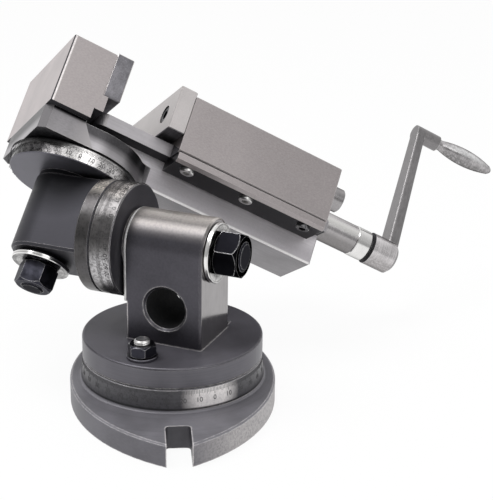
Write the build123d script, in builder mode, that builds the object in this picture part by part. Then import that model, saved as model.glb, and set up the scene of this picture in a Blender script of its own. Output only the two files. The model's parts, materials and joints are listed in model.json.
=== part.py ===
from build123d import *
from math import cos, hypot, radians, sin, sqrt
import os

os.makedirs("parts", exist_ok=True)

# Precision milling vise with a swivel base, a tilting angle head and a swivelling vise.
# Millimetres, +Z up. The origin is the centre of the base's flat underside.
# The base casting's lug slots lie along Y, with the front one toward -Y.

# Pose at rest, in degrees
turn_rest = -27.5
tilt_rest = 44.3
swivel_rest = 42.9

# Fits shared by all pieces
running_fit = 0.05
clear_gap = 0.3
bolt_room = 0.5
overrun = 2.0
edge_break = 0.6
ground_break = 0.8
cast_round = 1.5
washer_break = 0.4

# Base casting
foot_half_length = 110.7
foot_half_width = 70.9
foot_thickness = 16.0
foot_blend = 1.8
foot_rim_break = 1.2
drum_radius = 63.3
drum_top_radius = 62.0
drum_top = 32.0
slot_width = 16.4
slot_start = 81.3
slot_corner = 3.0
recess_inner = 26.0
recess_outer = 57.0
recess_depth = 5.5
recess_draft = 2.0

# Clamp bolts that slide round the base's T-slot
clamp_circle = 47.0
clamp_bolt_radius = 5.0
clamp_head_width = 16.5
clamp_head_height = 7.0
clamp_lip = 9.5
clamp_nut_width = 17.0
clamp_nut_height = 8.0
clamp_washer_radius = 10.5
clamp_washer_thickness = 2.0
clamp_bolt_tip = 3.0
clamp_nut_turn = 8.0

# Centre pin
pin_base_radius = 14.0
pin_base_depth = 17.0
pin_radius = 10.0
pin_height = 10.5

# Swivel bracket: the turntable, the block and the graduated flange
table_radius = 62.0
table_thickness = 14.8
block_left = -22.9
block_right = 31.6
block_half = 23.4
block_round = 1.6
flare_radius = 9.4
cross_bore_radius = 14.4
cross_bore_x = 5.1
cross_bore_height = 72.8
cross_bore_break = 1.6
tilt_height = 109.6
flange_radius = 38.9
flange_left = -43.3
flange_right = -27.3
neck_radius = 21.0
shoulder_left = -25.9
shoulder_low = 74.0
shoulder_round = 2.6
pilot_radius = 20.0
pilot_height = 5.0

# Studs, their washers and nuts
stud_washer_radius = 20.5
stud_washer_thickness = 3.0
stud_tip = 1.0
stud_tip_break = 1.5
tilt_stud_radius = 10.0
tilt_nut_width = 28.5
tilt_nut_height = 17.4
tilt_nut_turn = 21.0
swivel_stud_radius = 8.0
swivel_nut_width = 24.5
swivel_nut_height = 16.4
swivel_nut_turn = 12.0
nut_face_share = 0.95
nut_break_share = 0.085

# Angle head
head_offset = -90.3
head_flange_thickness = 10.5
barrel_radius = 23.4
barrel_low = -25.0
barrel_break = 1.8
barrel_top = 30.5
barrel_neck_radius = 22.6
dial_low = 33.9
dial_high = 45.7
dial_radius = 44.8
dial_break = 1.4
dial_pilot_radius = 24.0
dial_pilot_height = 4.0
tilt_socket_start = 14.5
seat_ring_radius = 17.0
seat_ring_thickness = 2.4

# Vise body
jaw_back = -43.9
disc_radius = 45.2
disc_top = 61.5
pad_front = -14.5
pad_half = 45.0
pad_top = 63.6
pad_corner = 5.0
bed_end = 183.7
web_half = 22.5
web_blend = 11.0
rail_start = -6.5
rail_half = 35.0
rail_low = 70.0
rail_top = 79.5
rail_corner = 8.0
bed_break = 1.0
channel_half = 11.0
channel_depth = 9.0
channel_start = 71.0
key_width = 10.0
key_height = 4.0
key_half = 38.0
swivel_stud_top = 58.0

# Fixed jaw
jaw_half = 51.4
jaw_face = -11.3
jaw_top = 115.5
ledge_depth = 3.9
foot_setback = 3.0
foot_notch_top = 71.3
jaw_screw_radius = 5.0
jaw_screw_head_radius = 8.0
jaw_screw_head_height = 10.0
jaw_screw_sink = 11.0
jaw_screw_place = -29.5
jaw_screw_spread = 21.0
jaw_screw_reach = 18.0
jaw_screw_pilot = 21.0

# Jaw plates and their screws
plate_thickness = 12.7
plate_low = 83.0
plate_top = 117.0
plate_screw_spread = 31.0
plate_screw_height = 100.2
plate_screw_radius = 4.0
plate_screw_head_radius = 6.5
plate_screw_head_height = 8.0
plate_screw_sink = 8.6
plate_screw_reach = 8.0
plate_screw_pilot = 9.0
head_room = 0.3
socket_share = 0.58
socket_depth_share = 0.55

# Movable jaw
movable_face = 52.2
movable_back = 174.9
movable_top = 114.0
jaw_foot_break = 1.8
cavity_front = 62.0
cavity_back = 163.0
cavity_half = 14.5
cavity_top = 104.0
rear_screw_radius = 6.0
rear_screw_head_radius = 9.0
rear_screw_head_height = 11.5
rear_screw_spread = 35.5
rear_screw_height = 97.0
rear_screw_reach = 9.0

# Keeper strips
keeper_thickness = 7.0
keeper_inner = 25.0
keeper_inset = 0.8
keeper_break = 2.2
keeper_screw_radius = 3.0
keeper_screw_head_radius = 5.0
keeper_screw_head_height = 4.0
keeper_screw_sink = 1.6
keeper_screw_reach = 9.0
keeper_screw_middle = 113.0
keeper_screw_pitch = 48.0

# Gib strip on the far side
gib_thickness = 4.0
gib_play = 0.1
gib_inset = 1.5
gib_screw_radius = 3.0
gib_screw_pitch = 48.0
gib_screw_sink = 1.0

# Lead screw, nut and sleeve
screw_height = 89.5
thread_radius = 9.0
thread_start = 66.0
thread_tip_break = 1.5
journal_radius = 8.0
shoulder_start = 221.0
shoulder_end = 233.2
shoulder_radius = 11.9
sleeve_radius = 11.6
ring_radius = 13.0
ring_thickness = 6.0
ring_pin_radius = 2.0
lead_nut_start = 102.0
lead_nut_length = 16.0
lead_nut_half = 12.4
lead_nut_top = 100.5
lead_foot_start = 76.0
lead_foot_length = 42.0
lead_foot_play = 0.1
lead_screw_radius = 3.0
lead_screw_head_radius = 5.0
lead_screw_head_height = 6.0
lead_screw_sink = 7.0
lead_screw_place = 7.0
lead_screw_reach = 7.0

# Crank
hub_start = 236.0
hub_end = 258.3
hub_radius = 12.6
hub_break = 2.6
crank_radius = 110.0
arm_thickness = 9.4
arm_width = 16.0
arm_tip_thickness = 7.4
arm_tip_width = 12.4
arm_round = 1.6
boss_end = 271.0
boss_radius = 6.3
spindle_radius = 3.0
spindle_floor = 2.4
grip_end_wall = 2.4
grip_gap = 0.4
grip_length = 53.5
grip_neck_radius = 4.3
grip_radius = 6.9
grip_end_radius = 3.4
grip_neck_share = 0.06
grip_belly_share = 0.56
grip_end_share = 0.95
set_screw_radius = 3.0
set_screw_depth = 4.0


# Frames of the sub-assemblies
def side_plane(frame, place=0.0):
    """The frame's XZ plane, with its normal toward the frame's -Y."""
    return Plane(origin=frame.from_local_coords((0, place, 0)), x_dir=frame.x_dir, z_dir=-frame.y_dir)


def end_plane(frame, place=0.0):
    """The frame's YZ plane, with its normal toward the frame's +X."""
    return Plane(origin=frame.from_local_coords((place, 0, 0)), x_dir=frame.y_dir, z_dir=frame.x_dir)


def along_x(frame):
    return Axis(frame.origin, frame.x_dir)


def along_z(frame):
    return Axis(frame.origin, frame.z_dir)


bracket_across = Vector(cos(radians(turn_rest)), sin(radians(turn_rest)), 0)
bracket = Plane(origin=(0, 0, 0), x_dir=bracket_across, z_dir=(0, 0, 1))
head_up = bracket.y_dir * sin(radians(tilt_rest)) + bracket.z_dir * cos(radians(tilt_rest))
head = Plane(
    origin=bracket.from_local_coords((head_offset, 0, tilt_height)), x_dir=bracket.x_dir, z_dir=head_up
)
vise_along = head.x_dir * cos(radians(swivel_rest)) + head.y_dir * sin(radians(swivel_rest))
vise = Plane(origin=head.origin, x_dir=vise_along, z_dir=head.z_dir)
screw = end_plane(vise.offset(screw_height))
crank = vise.offset(screw_height)

# Heights and places that follow from the sizes
table_low = drum_top + clear_gap
table_top = table_low + table_thickness
clamp_slot_top = drum_top - clamp_lip
clamp_head_top = clamp_slot_top - clear_gap
clamp_slot_low = clamp_head_top - clamp_head_height - clear_gap
clamp_pocket = clamp_head_width + 2 * clear_gap
clamp_sweep = hypot(clamp_circle + clamp_pocket / 2, clamp_pocket / 2)
clamp_stack = table_top + clamp_washer_thickness
tilt_face = flange_left - head_offset
head_flange_end = tilt_face - clear_gap
head_flange_start = head_flange_end - head_flange_thickness
body_low = dial_high + clear_gap
keeper_high = rail_low - clear_gap
keeper_low = keeper_high - keeper_thickness
movable_ride = rail_top + clear_gap
guide_half = rail_half + clear_gap
gib_side = guide_half + gib_thickness + gib_play
plate_face_fixed = jaw_face + plate_thickness
plate_face_movable = movable_face - plate_thickness
sleeve_start = movable_back + clear_gap
ring_start = cavity_back - clear_gap - ring_thickness
rail_middle = (rail_low + rail_top) / 2
arm_start = hub_end - arm_thickness
spindle_start = arm_start + spindle_floor
grip_start = boss_end + grip_gap
keeper_screw_places = [keeper_screw_middle + step * keeper_screw_pitch for step in (-1, 0, 1)]
gib_screw_places = [keeper_screw_middle + side * gib_screw_pitch / 2 for side in (-1, 1)]
keeper_near_place = (guide_half + jaw_half) / 2
keeper_far_place = (gib_side + jaw_half) / 2


# Shapes that several pieces share
def hex_nut(frame, low, width, height, bore, turn):
    """A chamfered hex nut on a frame's Z axis, from a height upward."""
    corner = width / sqrt(3)
    face = width / 2 * nut_face_share
    cut = width * nut_break_share
    with BuildPart() as nut:
        with BuildSketch(frame.offset(low)):
            RegularPolygon(radius=width / 2, side_count=6, major_radius=False, rotation=turn)
        extrude(amount=height)
        with BuildSketch(side_plane(frame.offset(low))):
            with BuildLine():
                Polyline(
                    (0, 0),
                    (face, 0),
                    (corner, cut),
                    (corner, height - cut),
                    (face, height),
                    (0, height),
                    close=True,
                )
            make_face()
        revolve(axis=along_z(frame), mode=Mode.INTERSECT)
        with BuildSketch(frame.offset(low)):
            Circle(bore)
        extrude(amount=height, mode=Mode.SUBTRACT)
    return nut.part


def washer(frame, low, outer, bore, thickness):
    """A flat washer with broken outer edges."""
    with BuildPart() as ring:
        with BuildSketch(frame.offset(low)):
            Circle(outer)
            Circle(bore, mode=Mode.SUBTRACT)
        extrude(amount=thickness)
        chamfer(ring.edges().filter_by(GeomType.CIRCLE).sort_by(SortBy.RADIUS)[-2:], washer_break)
    return ring.part


def socket_screws(frame, places, under, head_radius, head_height, shank_radius, reach):
    """Socket head screws whose heads stand up from a height and whose shanks reach down from it."""
    socket = head_radius * socket_share
    with BuildPart() as screws:
        with BuildSketch(frame.offset(under)):
            with Locations(*places):
                Circle(head_radius)
        extrude(amount=head_height)
        chamfer(screws.edges().group_by(along_z(frame))[-1], edge_break)
        with BuildSketch(frame.offset(under + head_height)):
            with Locations(*places):
                RegularPolygon(radius=socket, side_count=6)
        extrude(amount=-head_height * socket_depth_share, mode=Mode.SUBTRACT)
        with BuildSketch(frame.offset(under)):
            with Locations(*places):
                Circle(shank_radius)
        extrude(amount=-reach)
    return screws.part


# Base casting: a lens shaped foot with two open slots, under a graduated drum
with BuildPart() as base_casting:
    with BuildSketch():
        with BuildLine():
            ThreePointArc((0, -foot_half_length), (foot_half_width, 0), (0, foot_half_length))
            ThreePointArc((0, foot_half_length), (-foot_half_width, 0), (0, -foot_half_length))
        make_face()
    extrude(amount=foot_thickness)
    chamfer(base_casting.edges().group_by(Axis.Z)[-1], foot_rim_break)
    with BuildSketch(Plane.XZ):
        with BuildLine():
            Polyline(
                (0, 0),
                (drum_radius, 0),
                (drum_radius, foot_thickness),
                (drum_top_radius, drum_top),
                (0, drum_top),
                close=True,
            )
        make_face()
    revolve(axis=Axis.Z)
    foot_top = base_casting.faces().filter_by(Axis.Z).sort_by(Axis.Z)[1]
    fillet(foot_top.inner_wires()[0].edges(), foot_blend)
    # The slots run out through the pointed ends of the foot
    slot_length = foot_half_length - slot_start + overrun
    slot_middle = slot_start + slot_length / 2
    with BuildSketch():
        with Locations((0, -slot_middle), (0, slot_middle)):
            RectangleRounded(slot_width, slot_length, slot_corner)
        with Locations((0, -foot_half_length), (0, foot_half_length)):
            Rectangle(slot_width, (foot_half_length - slot_start))
    extrude(amount=foot_thickness, mode=Mode.SUBTRACT)
    # Round T-slot for the heads of the clamp bolts, open to the top
    t_neck = clamp_bolt_radius + bolt_room
    t_out = clamp_sweep + clear_gap
    t_in = clamp_circle - clamp_head_width / 2 - clear_gap
    with BuildSketch(Plane.XZ):
        with BuildLine():
            Polyline(
                (t_in, clamp_slot_low),
                (t_out, clamp_slot_low),
                (t_out, clamp_slot_top),
                (clamp_circle + t_neck, clamp_slot_top),
                (clamp_circle + t_neck, drum_top + overrun),
                (clamp_circle - t_neck, drum_top + overrun),
                (clamp_circle - t_neck, clamp_slot_top),
                (t_in, clamp_slot_top),
                close=True,
            )
        make_face()
    revolve(axis=Axis.Z, mode=Mode.SUBTRACT)
    # Pocket that lets the bolt heads into the T-slot
    with BuildSketch(Plane.XY.offset(clamp_slot_low)):
        with Locations((clamp_circle, 0)):
            Rectangle(clamp_pocket, clamp_pocket)
    extrude(amount=drum_top - clamp_slot_low, mode=Mode.SUBTRACT)
    # Seat of the centre pin
    with BuildSketch(Plane.XY.offset(drum_top)):
        Circle(pin_base_radius)
    extrude(amount=-pin_base_depth, mode=Mode.SUBTRACT)
    # Relief under the foot leaves a rim and a hub to stand on
    with BuildSketch(Plane.XZ):
        with BuildLine():
            Polyline(
                (recess_inner, 0),
                (recess_outer, 0),
                (recess_outer - recess_draft, recess_depth),
                (recess_inner + recess_draft, recess_depth),
                close=True,
            )
        make_face()
    revolve(axis=Axis.Z, mode=Mode.SUBTRACT)
    drum_rims = base_casting.edges().filter_by(GeomType.CIRCLE).group_by(Axis.Z)[-1]
    chamfer(drum_rims.sort_by(SortBy.RADIUS)[-1], edge_break)

# Centre pin, pressed into the base, round which the turntable turns
with BuildPart() as centre_pin:
    with BuildSketch(Plane.XY.offset(drum_top - pin_base_depth)):
        Circle(pin_base_radius)
    extrude(amount=pin_base_depth)
    with BuildSketch(Plane.XY.offset(drum_top)):
        Circle(pin_radius)
    extrude(amount=pin_height)
    chamfer(centre_pin.edges().group_by(Axis.Z)[-1], edge_break)

# Swivel bracket: turntable, block with a half round top, and the graduated flange in one casting
with BuildPart() as swivel_bracket:
    with BuildSketch(bracket.offset(table_low)):
        Circle(table_radius)
    extrude(amount=table_thickness)
    fillet(swivel_bracket.edges().group_by(Axis.Z)[-1], cast_round)
    chamfer(swivel_bracket.edges().group_by(Axis.Z)[0], edge_break)
    with BuildSketch(end_plane(bracket, block_left)):
        with BuildLine():
            Line((-block_half, table_top), (-block_half, tilt_height))
            CenterArc((0, tilt_height), block_half, 0, 180)
            Line((block_half, tilt_height), (block_half, table_top))
            Line((block_half, table_top), (-block_half, table_top))
        make_face()
    extrude(amount=block_right - block_left)
    # Shoulder that widens the upper part of the block toward the flange
    with BuildSketch(end_plane(bracket, shoulder_left)):
        with BuildLine():
            Line((block_half, shoulder_low), (block_half, tilt_height))
            CenterArc((0, tilt_height), block_half, 0, 180)
            Line((-block_half, tilt_height), (-block_half, shoulder_low))
            Line((-block_half, shoulder_low), (block_half, shoulder_low))
        make_face()
    extrude(amount=block_left - shoulder_left)
    block_ends = swivel_bracket.faces().filter_by(along_x(bracket)).sort_by(along_x(bracket))
    fillet(block_ends[0].edges().sort_by(Axis.Z)[1:], shoulder_round)
    fillet(block_ends[-1].edges().sort_by(Axis.Z)[1:], block_round)
    # Rear flare of the block onto the turntable
    flare_inside = block_half - block_round
    flare_foot = block_half + flare_radius
    flare_top = table_top + flare_radius
    with BuildSketch(end_plane(bracket, block_left + block_round)):
        with BuildLine():
            Line((flare_foot, table_top), (flare_inside, table_top))
            Line((flare_inside, table_top), (flare_inside, flare_top))
            Line((flare_inside, flare_top), (block_half, flare_top))
            CenterArc((flare_foot, flare_top), flare_radius, 180, 90)
        make_face()
    extrude(amount=block_right - block_left - 2 * block_round)
    # Neck and graduated flange
    with BuildSketch(end_plane(bracket, flange_right)):
        with Locations((0, tilt_height)):
            Circle(neck_radius)
    extrude(amount=shoulder_left - flange_right)
    with BuildSketch(end_plane(bracket, flange_left)):
        with Locations((0, tilt_height)):
            Circle(flange_radius)
    extrude(amount=flange_right - flange_left)
    flange_rims = swivel_bracket.edges(Select.LAST).filter_by(GeomType.CIRCLE).sort_by(SortBy.RADIUS)[-2:]
    chamfer(flange_rims, ground_break)
    # Big cross bore through the block
    with BuildSketch(side_plane(bracket)):
        with Locations((cross_bore_x, cross_bore_height)):
            Circle(cross_bore_radius)
    extrude(amount=block_half, both=True, mode=Mode.SUBTRACT)
    chamfer(swivel_bracket.edges(Select.LAST).filter_by(GeomType.CIRCLE), cross_bore_break)
    # Bore of the tilt stud and the pilot recess round it
    with BuildSketch(end_plane(bracket, flange_left)):
        with Locations((0, tilt_height)):
            Circle(tilt_stud_radius + clear_gap)
    extrude(amount=block_right - flange_left, mode=Mode.SUBTRACT)
    with BuildSketch(end_plane(bracket, flange_left)):
        with Locations((0, tilt_height)):
            Circle(pilot_radius + running_fit)
    extrude(amount=pilot_height + clear_gap, mode=Mode.SUBTRACT)
    # Holes of the clamp bolts, and the bore for the centre pin
    with BuildSketch(bracket.offset(table_low)):
        with Locations((0, -clamp_circle), (0, clamp_circle)):
            Circle(clamp_bolt_radius + bolt_room)
    extrude(amount=table_thickness, mode=Mode.SUBTRACT)
    with BuildSketch(bracket.offset(table_low)):
        Circle(pin_radius + running_fit)
    extrude(amount=pin_height + clear_gap, mode=Mode.SUBTRACT)

# Clamp bolts with square heads in the T-slot
clamp_places = [(0, -clamp_circle), (0, clamp_circle)]
clamp_top = clamp_stack + clamp_nut_height + clamp_bolt_tip
with BuildPart() as clamp_bolts:
    with BuildSketch(bracket.offset(clamp_head_top - clamp_head_height)):
        with Locations(*clamp_places):
            Rectangle(clamp_head_width, clamp_head_width)
    extrude(amount=clamp_head_height)
    with BuildSketch(bracket.offset(clamp_head_top)):
        with Locations(*clamp_places):
            Circle(clamp_bolt_radius)
    extrude(amount=clamp_top - clamp_head_top)
    chamfer(clamp_bolts.edges().group_by(Axis.Z)[-1], ground_break)

clamp_washer = washer(
    bracket, table_top, clamp_washer_radius, clamp_bolt_radius + clear_gap, clamp_washer_thickness
)
clamp_nut = hex_nut(
    bracket, clamp_stack, clamp_nut_width, clamp_nut_height, clamp_bolt_radius, clamp_nut_turn
)
clamp_shifts = [Location(bracket.from_local_coords((x, y, 0))) for x, y in clamp_places]
with BuildPart() as clamp_washers:
    with Locations(*clamp_shifts):
        add(clamp_washer)
with BuildPart() as clamp_nuts:
    with Locations(*clamp_shifts):
        add(clamp_nut)

# Angle head: barrel, tilt flange and swivel dial in one casting
with BuildPart() as angle_head:
    # Barrel whose flat sides run to the flange, and its slimmer neck under the dial
    with BuildSketch(head.offset(barrel_low)):
        Circle(barrel_radius)
        with Locations((head_flange_start / 2, 0)):
            Rectangle(head_flange_start, 2 * barrel_radius)
    extrude(amount=barrel_top - barrel_low)
    low_rim = angle_head.edges().group_by(along_z(head))[0].sort_by(along_x(head))[:-1]
    high_rim = angle_head.edges().group_by(along_z(head))[-1].sort_by(along_x(head))[:-1]
    chamfer(low_rim, barrel_break)
    chamfer(high_rim, ground_break)
    with BuildSketch(head.offset(barrel_top)):
        Circle(barrel_neck_radius)
    extrude(amount=dial_low - barrel_top)
    with BuildSketch(end_plane(head, head_flange_start)):
        Circle(flange_radius)
    extrude(amount=head_flange_thickness)
    head_rims = angle_head.edges(Select.LAST).filter_by(GeomType.CIRCLE).sort_by(SortBy.RADIUS)[-2:]
    chamfer(head_rims, ground_break)
    with BuildSketch(end_plane(head, head_flange_end)):
        Circle(pilot_radius)
    extrude(amount=pilot_height)
    with BuildSketch(head.offset(dial_low)):
        Circle(dial_radius)
    extrude(amount=dial_high - dial_low)
    dial_rims = angle_head.edges(Select.LAST).filter_by(GeomType.CIRCLE).sort_by(SortBy.RADIUS)[-2:]
    chamfer(dial_rims.sort_by(along_z(head))[-1], dial_break)
    chamfer(dial_rims.sort_by(along_z(head))[0], edge_break)
    with BuildSketch(head.offset(dial_high)):
        Circle(dial_pilot_radius)
    extrude(amount=dial_pilot_height)
    with BuildSketch(head.offset(barrel_low)):
        Circle(swivel_stud_radius + running_fit)
    extrude(amount=dial_high + dial_pilot_height - barrel_low, mode=Mode.SUBTRACT)
    with BuildSketch(end_plane(head, tilt_socket_start)):
        Circle(tilt_stud_radius)
    extrude(amount=head_flange_end + pilot_height - tilt_socket_start, mode=Mode.SUBTRACT)

# Tilt stud in the angle head, with its washer and nut on the far side of the block
tilt_line = end_plane(head)
tilt_seat = block_right - head_offset + clear_gap
tilt_nut_low = tilt_seat + stud_washer_thickness
tilt_stud_end = tilt_nut_low + tilt_nut_height + stud_tip
with BuildPart() as tilt_stud:
    with BuildSketch(tilt_line.offset(tilt_socket_start)):
        Circle(tilt_stud_radius)
    extrude(amount=tilt_stud_end - tilt_socket_start)
    chamfer(tilt_stud.edges().group_by(along_x(head))[-1], stud_tip_break)
tilt_washer = washer(
    tilt_line, tilt_seat, stud_washer_radius, tilt_stud_radius + clear_gap, stud_washer_thickness
)
tilt_nut = hex_nut(
    tilt_line, tilt_nut_low, tilt_nut_width, tilt_nut_height, tilt_stud_radius, tilt_nut_turn
)

# Swivel stud in the vise body, with its seat ring, washer and nut under the barrel
seat_high = barrel_low - clear_gap
seat_low = seat_high - seat_ring_thickness
swivel_washer_low = seat_low - stud_washer_thickness
swivel_nut_low = swivel_washer_low - swivel_nut_height
swivel_stud_low = swivel_nut_low - stud_tip
with BuildPart() as swivel_stud:
    with BuildSketch(head.offset(swivel_stud_low)):
        Circle(swivel_stud_radius)
    extrude(amount=swivel_stud_top - swivel_stud_low)
    chamfer(swivel_stud.edges().group_by(along_z(head))[0], stud_tip_break)
seat_ring = washer(
    head, seat_low, seat_ring_radius, swivel_stud_radius + clear_gap, seat_ring_thickness
)
swivel_washer = washer(
    head, swivel_washer_low, stud_washer_radius, swivel_stud_radius + clear_gap, stud_washer_thickness
)
swivel_nut = hex_nut(
    head, swivel_nut_low, swivel_nut_width, swivel_nut_height, swivel_stud_radius, swivel_nut_turn
)

# Vise body: round plate, pad for the fixed jaw, bed and overhanging rails
with BuildPart() as vise_body:
    blend_reach = sqrt(disc_radius**2 - web_half**2)
    with BuildSketch(vise.offset(body_low)) as plan:
        Circle(disc_radius)
        with Locations((jaw_back / 2, 0)):
            Rectangle(-jaw_back, 2 * pad_half)
        with Locations((bed_end / 2, 0)):
            Rectangle(bed_end, 2 * web_half)
        inner_corners = plan.vertices().filter_by_position(
            Axis.X, blend_reach - overrun, blend_reach + overrun
        )
        fillet(inner_corners, web_blend)
        with Locations((jaw_back - disc_radius / 2, 0)):
            Rectangle(disc_radius, 2 * disc_radius, mode=Mode.SUBTRACT)
        chamfer(plan.vertices().group_by(Axis.X)[0], pad_corner)
    extrude(amount=disc_top - body_low)
    with BuildSketch(vise.offset(disc_top)) as pad_plan:
        with Locations(((jaw_back + pad_front) / 2, 0)):
            Rectangle(pad_front - jaw_back, 2 * pad_half)
        chamfer(pad_plan.vertices().group_by(Axis.X)[0], pad_corner)
    extrude(amount=pad_top - disc_top)
    with BuildSketch(vise.offset(disc_top)):
        with Locations(((rail_start + rail_corner + bed_end) / 2, 0)):
            Rectangle(bed_end - rail_start - rail_corner, 2 * web_half)
    extrude(amount=rail_low - disc_top)
    with BuildSketch(vise.offset(rail_low)) as rail_plan:
        with Locations(((rail_start + bed_end) / 2, 0)):
            Rectangle(bed_end - rail_start, 2 * rail_half)
        fillet(rail_plan.vertices().group_by(Axis.X)[0], rail_corner)
    extrude(amount=rail_top - rail_low)
    end_face = vise_body.faces().filter_by(along_x(vise)).sort_by(along_x(vise))[-1]
    chamfer(end_face.edges(), bed_break)
    # Channel for the foot of the lead nut
    with BuildSketch(vise.offset(rail_top)):
        with Locations(((channel_start + bed_end) / 2, 0)):
            Rectangle(bed_end - channel_start, 2 * channel_half)
    extrude(amount=-channel_depth, mode=Mode.SUBTRACT)
    # Key seat in the pad
    with BuildSketch(side_plane(vise)):
        with Locations((jaw_screw_place, pad_top - key_height / 2)):
            Rectangle(key_width, key_height)
    extrude(amount=key_half + clear_gap, both=True, mode=Mode.SUBTRACT)
    # Seat of the dial's pilot, and the threaded hole of the swivel stud
    with BuildSketch(vise.offset(body_low)):
        Circle(dial_pilot_radius + running_fit)
    extrude(amount=dial_pilot_height + clear_gap, mode=Mode.SUBTRACT)
    with BuildSketch(vise.offset(body_low)):
        Circle(swivel_stud_radius)
    extrude(amount=swivel_stud_top - body_low, mode=Mode.SUBTRACT)
    # Counterbored holes of the fixed jaw screws
    jaw_screw_places = [(jaw_screw_place, -jaw_screw_spread), (jaw_screw_place, jaw_screw_spread)]
    with BuildSketch(vise.offset(body_low)):
        with Locations(*jaw_screw_places):
            Circle(jaw_screw_head_radius + head_room)
    extrude(amount=jaw_screw_sink, mode=Mode.SUBTRACT)
    with BuildSketch(vise.offset(body_low)):
        with Locations(*jaw_screw_places):
            Circle(jaw_screw_radius + head_room)
    extrude(amount=pad_top - body_low, mode=Mode.SUBTRACT)
    # Counterbored holes of the lead nut's screws
    lead_foot_end = lead_foot_start + lead_foot_length
    lead_screw_places = [
        (lead_foot_start + lead_screw_place, 0),
        (lead_foot_end - lead_screw_place, 0),
    ]
    with BuildSketch(vise.offset(body_low)):
        with Locations(*lead_screw_places):
            Circle(lead_screw_head_radius + head_room)
    extrude(amount=lead_screw_sink, mode=Mode.SUBTRACT)
    with BuildSketch(vise.offset(body_low)):
        with Locations(*lead_screw_places):
            Circle(lead_screw_radius + head_room)
    extrude(amount=rail_top - channel_depth - body_low, mode=Mode.SUBTRACT)

# Fixed jaw: a ground block whose foot sits on the pad and whose ledge carries the plate
with BuildPart() as fixed_jaw:
    with BuildSketch(side_plane(vise)):
        with BuildLine():
            Polyline(
                (jaw_back, pad_top),
                (jaw_face - foot_setback, pad_top),
                (jaw_face - foot_setback, foot_notch_top),
                (jaw_face + ledge_depth, foot_notch_top),
                (jaw_face + ledge_depth, plate_low),
                (jaw_face, plate_low),
                (jaw_face, jaw_top),
                (jaw_back, jaw_top),
                close=True,
            )
        make_face()
    extrude(amount=jaw_half, both=True)
    top_edges = fixed_jaw.edges().group_by(along_z(vise))[-1]
    back_edges = fixed_jaw.faces().sort_by(along_x(vise))[0].edges().filter_by(along_z(vise))
    chamfer(back_edges + top_edges, ground_break)
    # Key that drops into the pad's seat
    with BuildSketch(side_plane(vise)):
        with Locations((jaw_screw_place, pad_top - key_height / 2 + clear_gap / 2)):
            Rectangle(key_width - clear_gap, key_height - clear_gap)
    extrude(amount=key_half, both=True)
    with BuildSketch(vise.offset(pad_top - key_height)):
        with Locations(*jaw_screw_places):
            Circle(jaw_screw_radius)
    extrude(amount=jaw_screw_pilot + key_height, mode=Mode.SUBTRACT)
    with BuildSketch(end_plane(vise, jaw_face)):
        with Locations((-plate_screw_spread, plate_screw_height), (plate_screw_spread, plate_screw_height)):
            Circle(plate_screw_radius)
    extrude(amount=-plate_screw_pilot, mode=Mode.SUBTRACT)

jaw_screw_up = body_low + jaw_screw_sink
jaw_screws = socket_screws(
    Plane(origin=vise.origin, x_dir=vise.x_dir, z_dir=-vise.z_dir),
    [(x, y) for x, y in jaw_screw_places],
    -jaw_screw_up,
    jaw_screw_head_radius,
    jaw_screw_head_height,
    jaw_screw_radius,
    pad_top - jaw_screw_up + jaw_screw_reach,
)

# Hardened jaw plates, counterbored for two screws each
plate_places = [(-plate_screw_spread, plate_screw_height), (plate_screw_spread, plate_screw_height)]


def jaw_plate(back, face):
    """A jaw plate between two places along the vise, with its screw holes open at the gripping face."""
    toward = 1 if face > back else -1
    with BuildPart() as plate:
        with BuildSketch(end_plane(vise, back)):
            with Locations((0, (plate_low + plate_top) / 2)):
                Rectangle(2 * jaw_half, plate_top - plate_low)
        extrude(amount=face - back)
        chamfer(plate.edges(), edge_break)
        with BuildSketch(end_plane(vise, face)):
            with Locations(*plate_places):
                Circle(plate_screw_head_radius + head_room)
        extrude(amount=-toward * plate_screw_sink, mode=Mode.SUBTRACT)
        with BuildSketch(end_plane(vise, face)):
            with Locations(*plate_places):
                Circle(plate_screw_radius + head_room)
        extrude(amount=-toward * plate_thickness, mode=Mode.SUBTRACT)
    return plate.part


fixed_plate = jaw_plate(jaw_face, plate_face_fixed)
movable_plate = jaw_plate(movable_face, plate_face_movable)
plate_screw_length = plate_thickness - plate_screw_sink + plate_screw_reach
toward_fixed = Plane(origin=vise.origin, x_dir=vise.y_dir, z_dir=-vise.x_dir)
fixed_plate_screws = socket_screws(
    end_plane(vise),
    plate_places,
    plate_face_fixed - plate_screw_sink,
    plate_screw_head_radius,
    plate_screw_head_height,
    plate_screw_radius,
    plate_screw_length,
)
movable_plate_screws = socket_screws(
    toward_fixed,
    [(y, -z) for y, z in plate_places],
    -plate_face_movable - plate_screw_sink,
    plate_screw_head_radius,
    plate_screw_head_height,
    plate_screw_radius,
    plate_screw_length,
)

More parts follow.
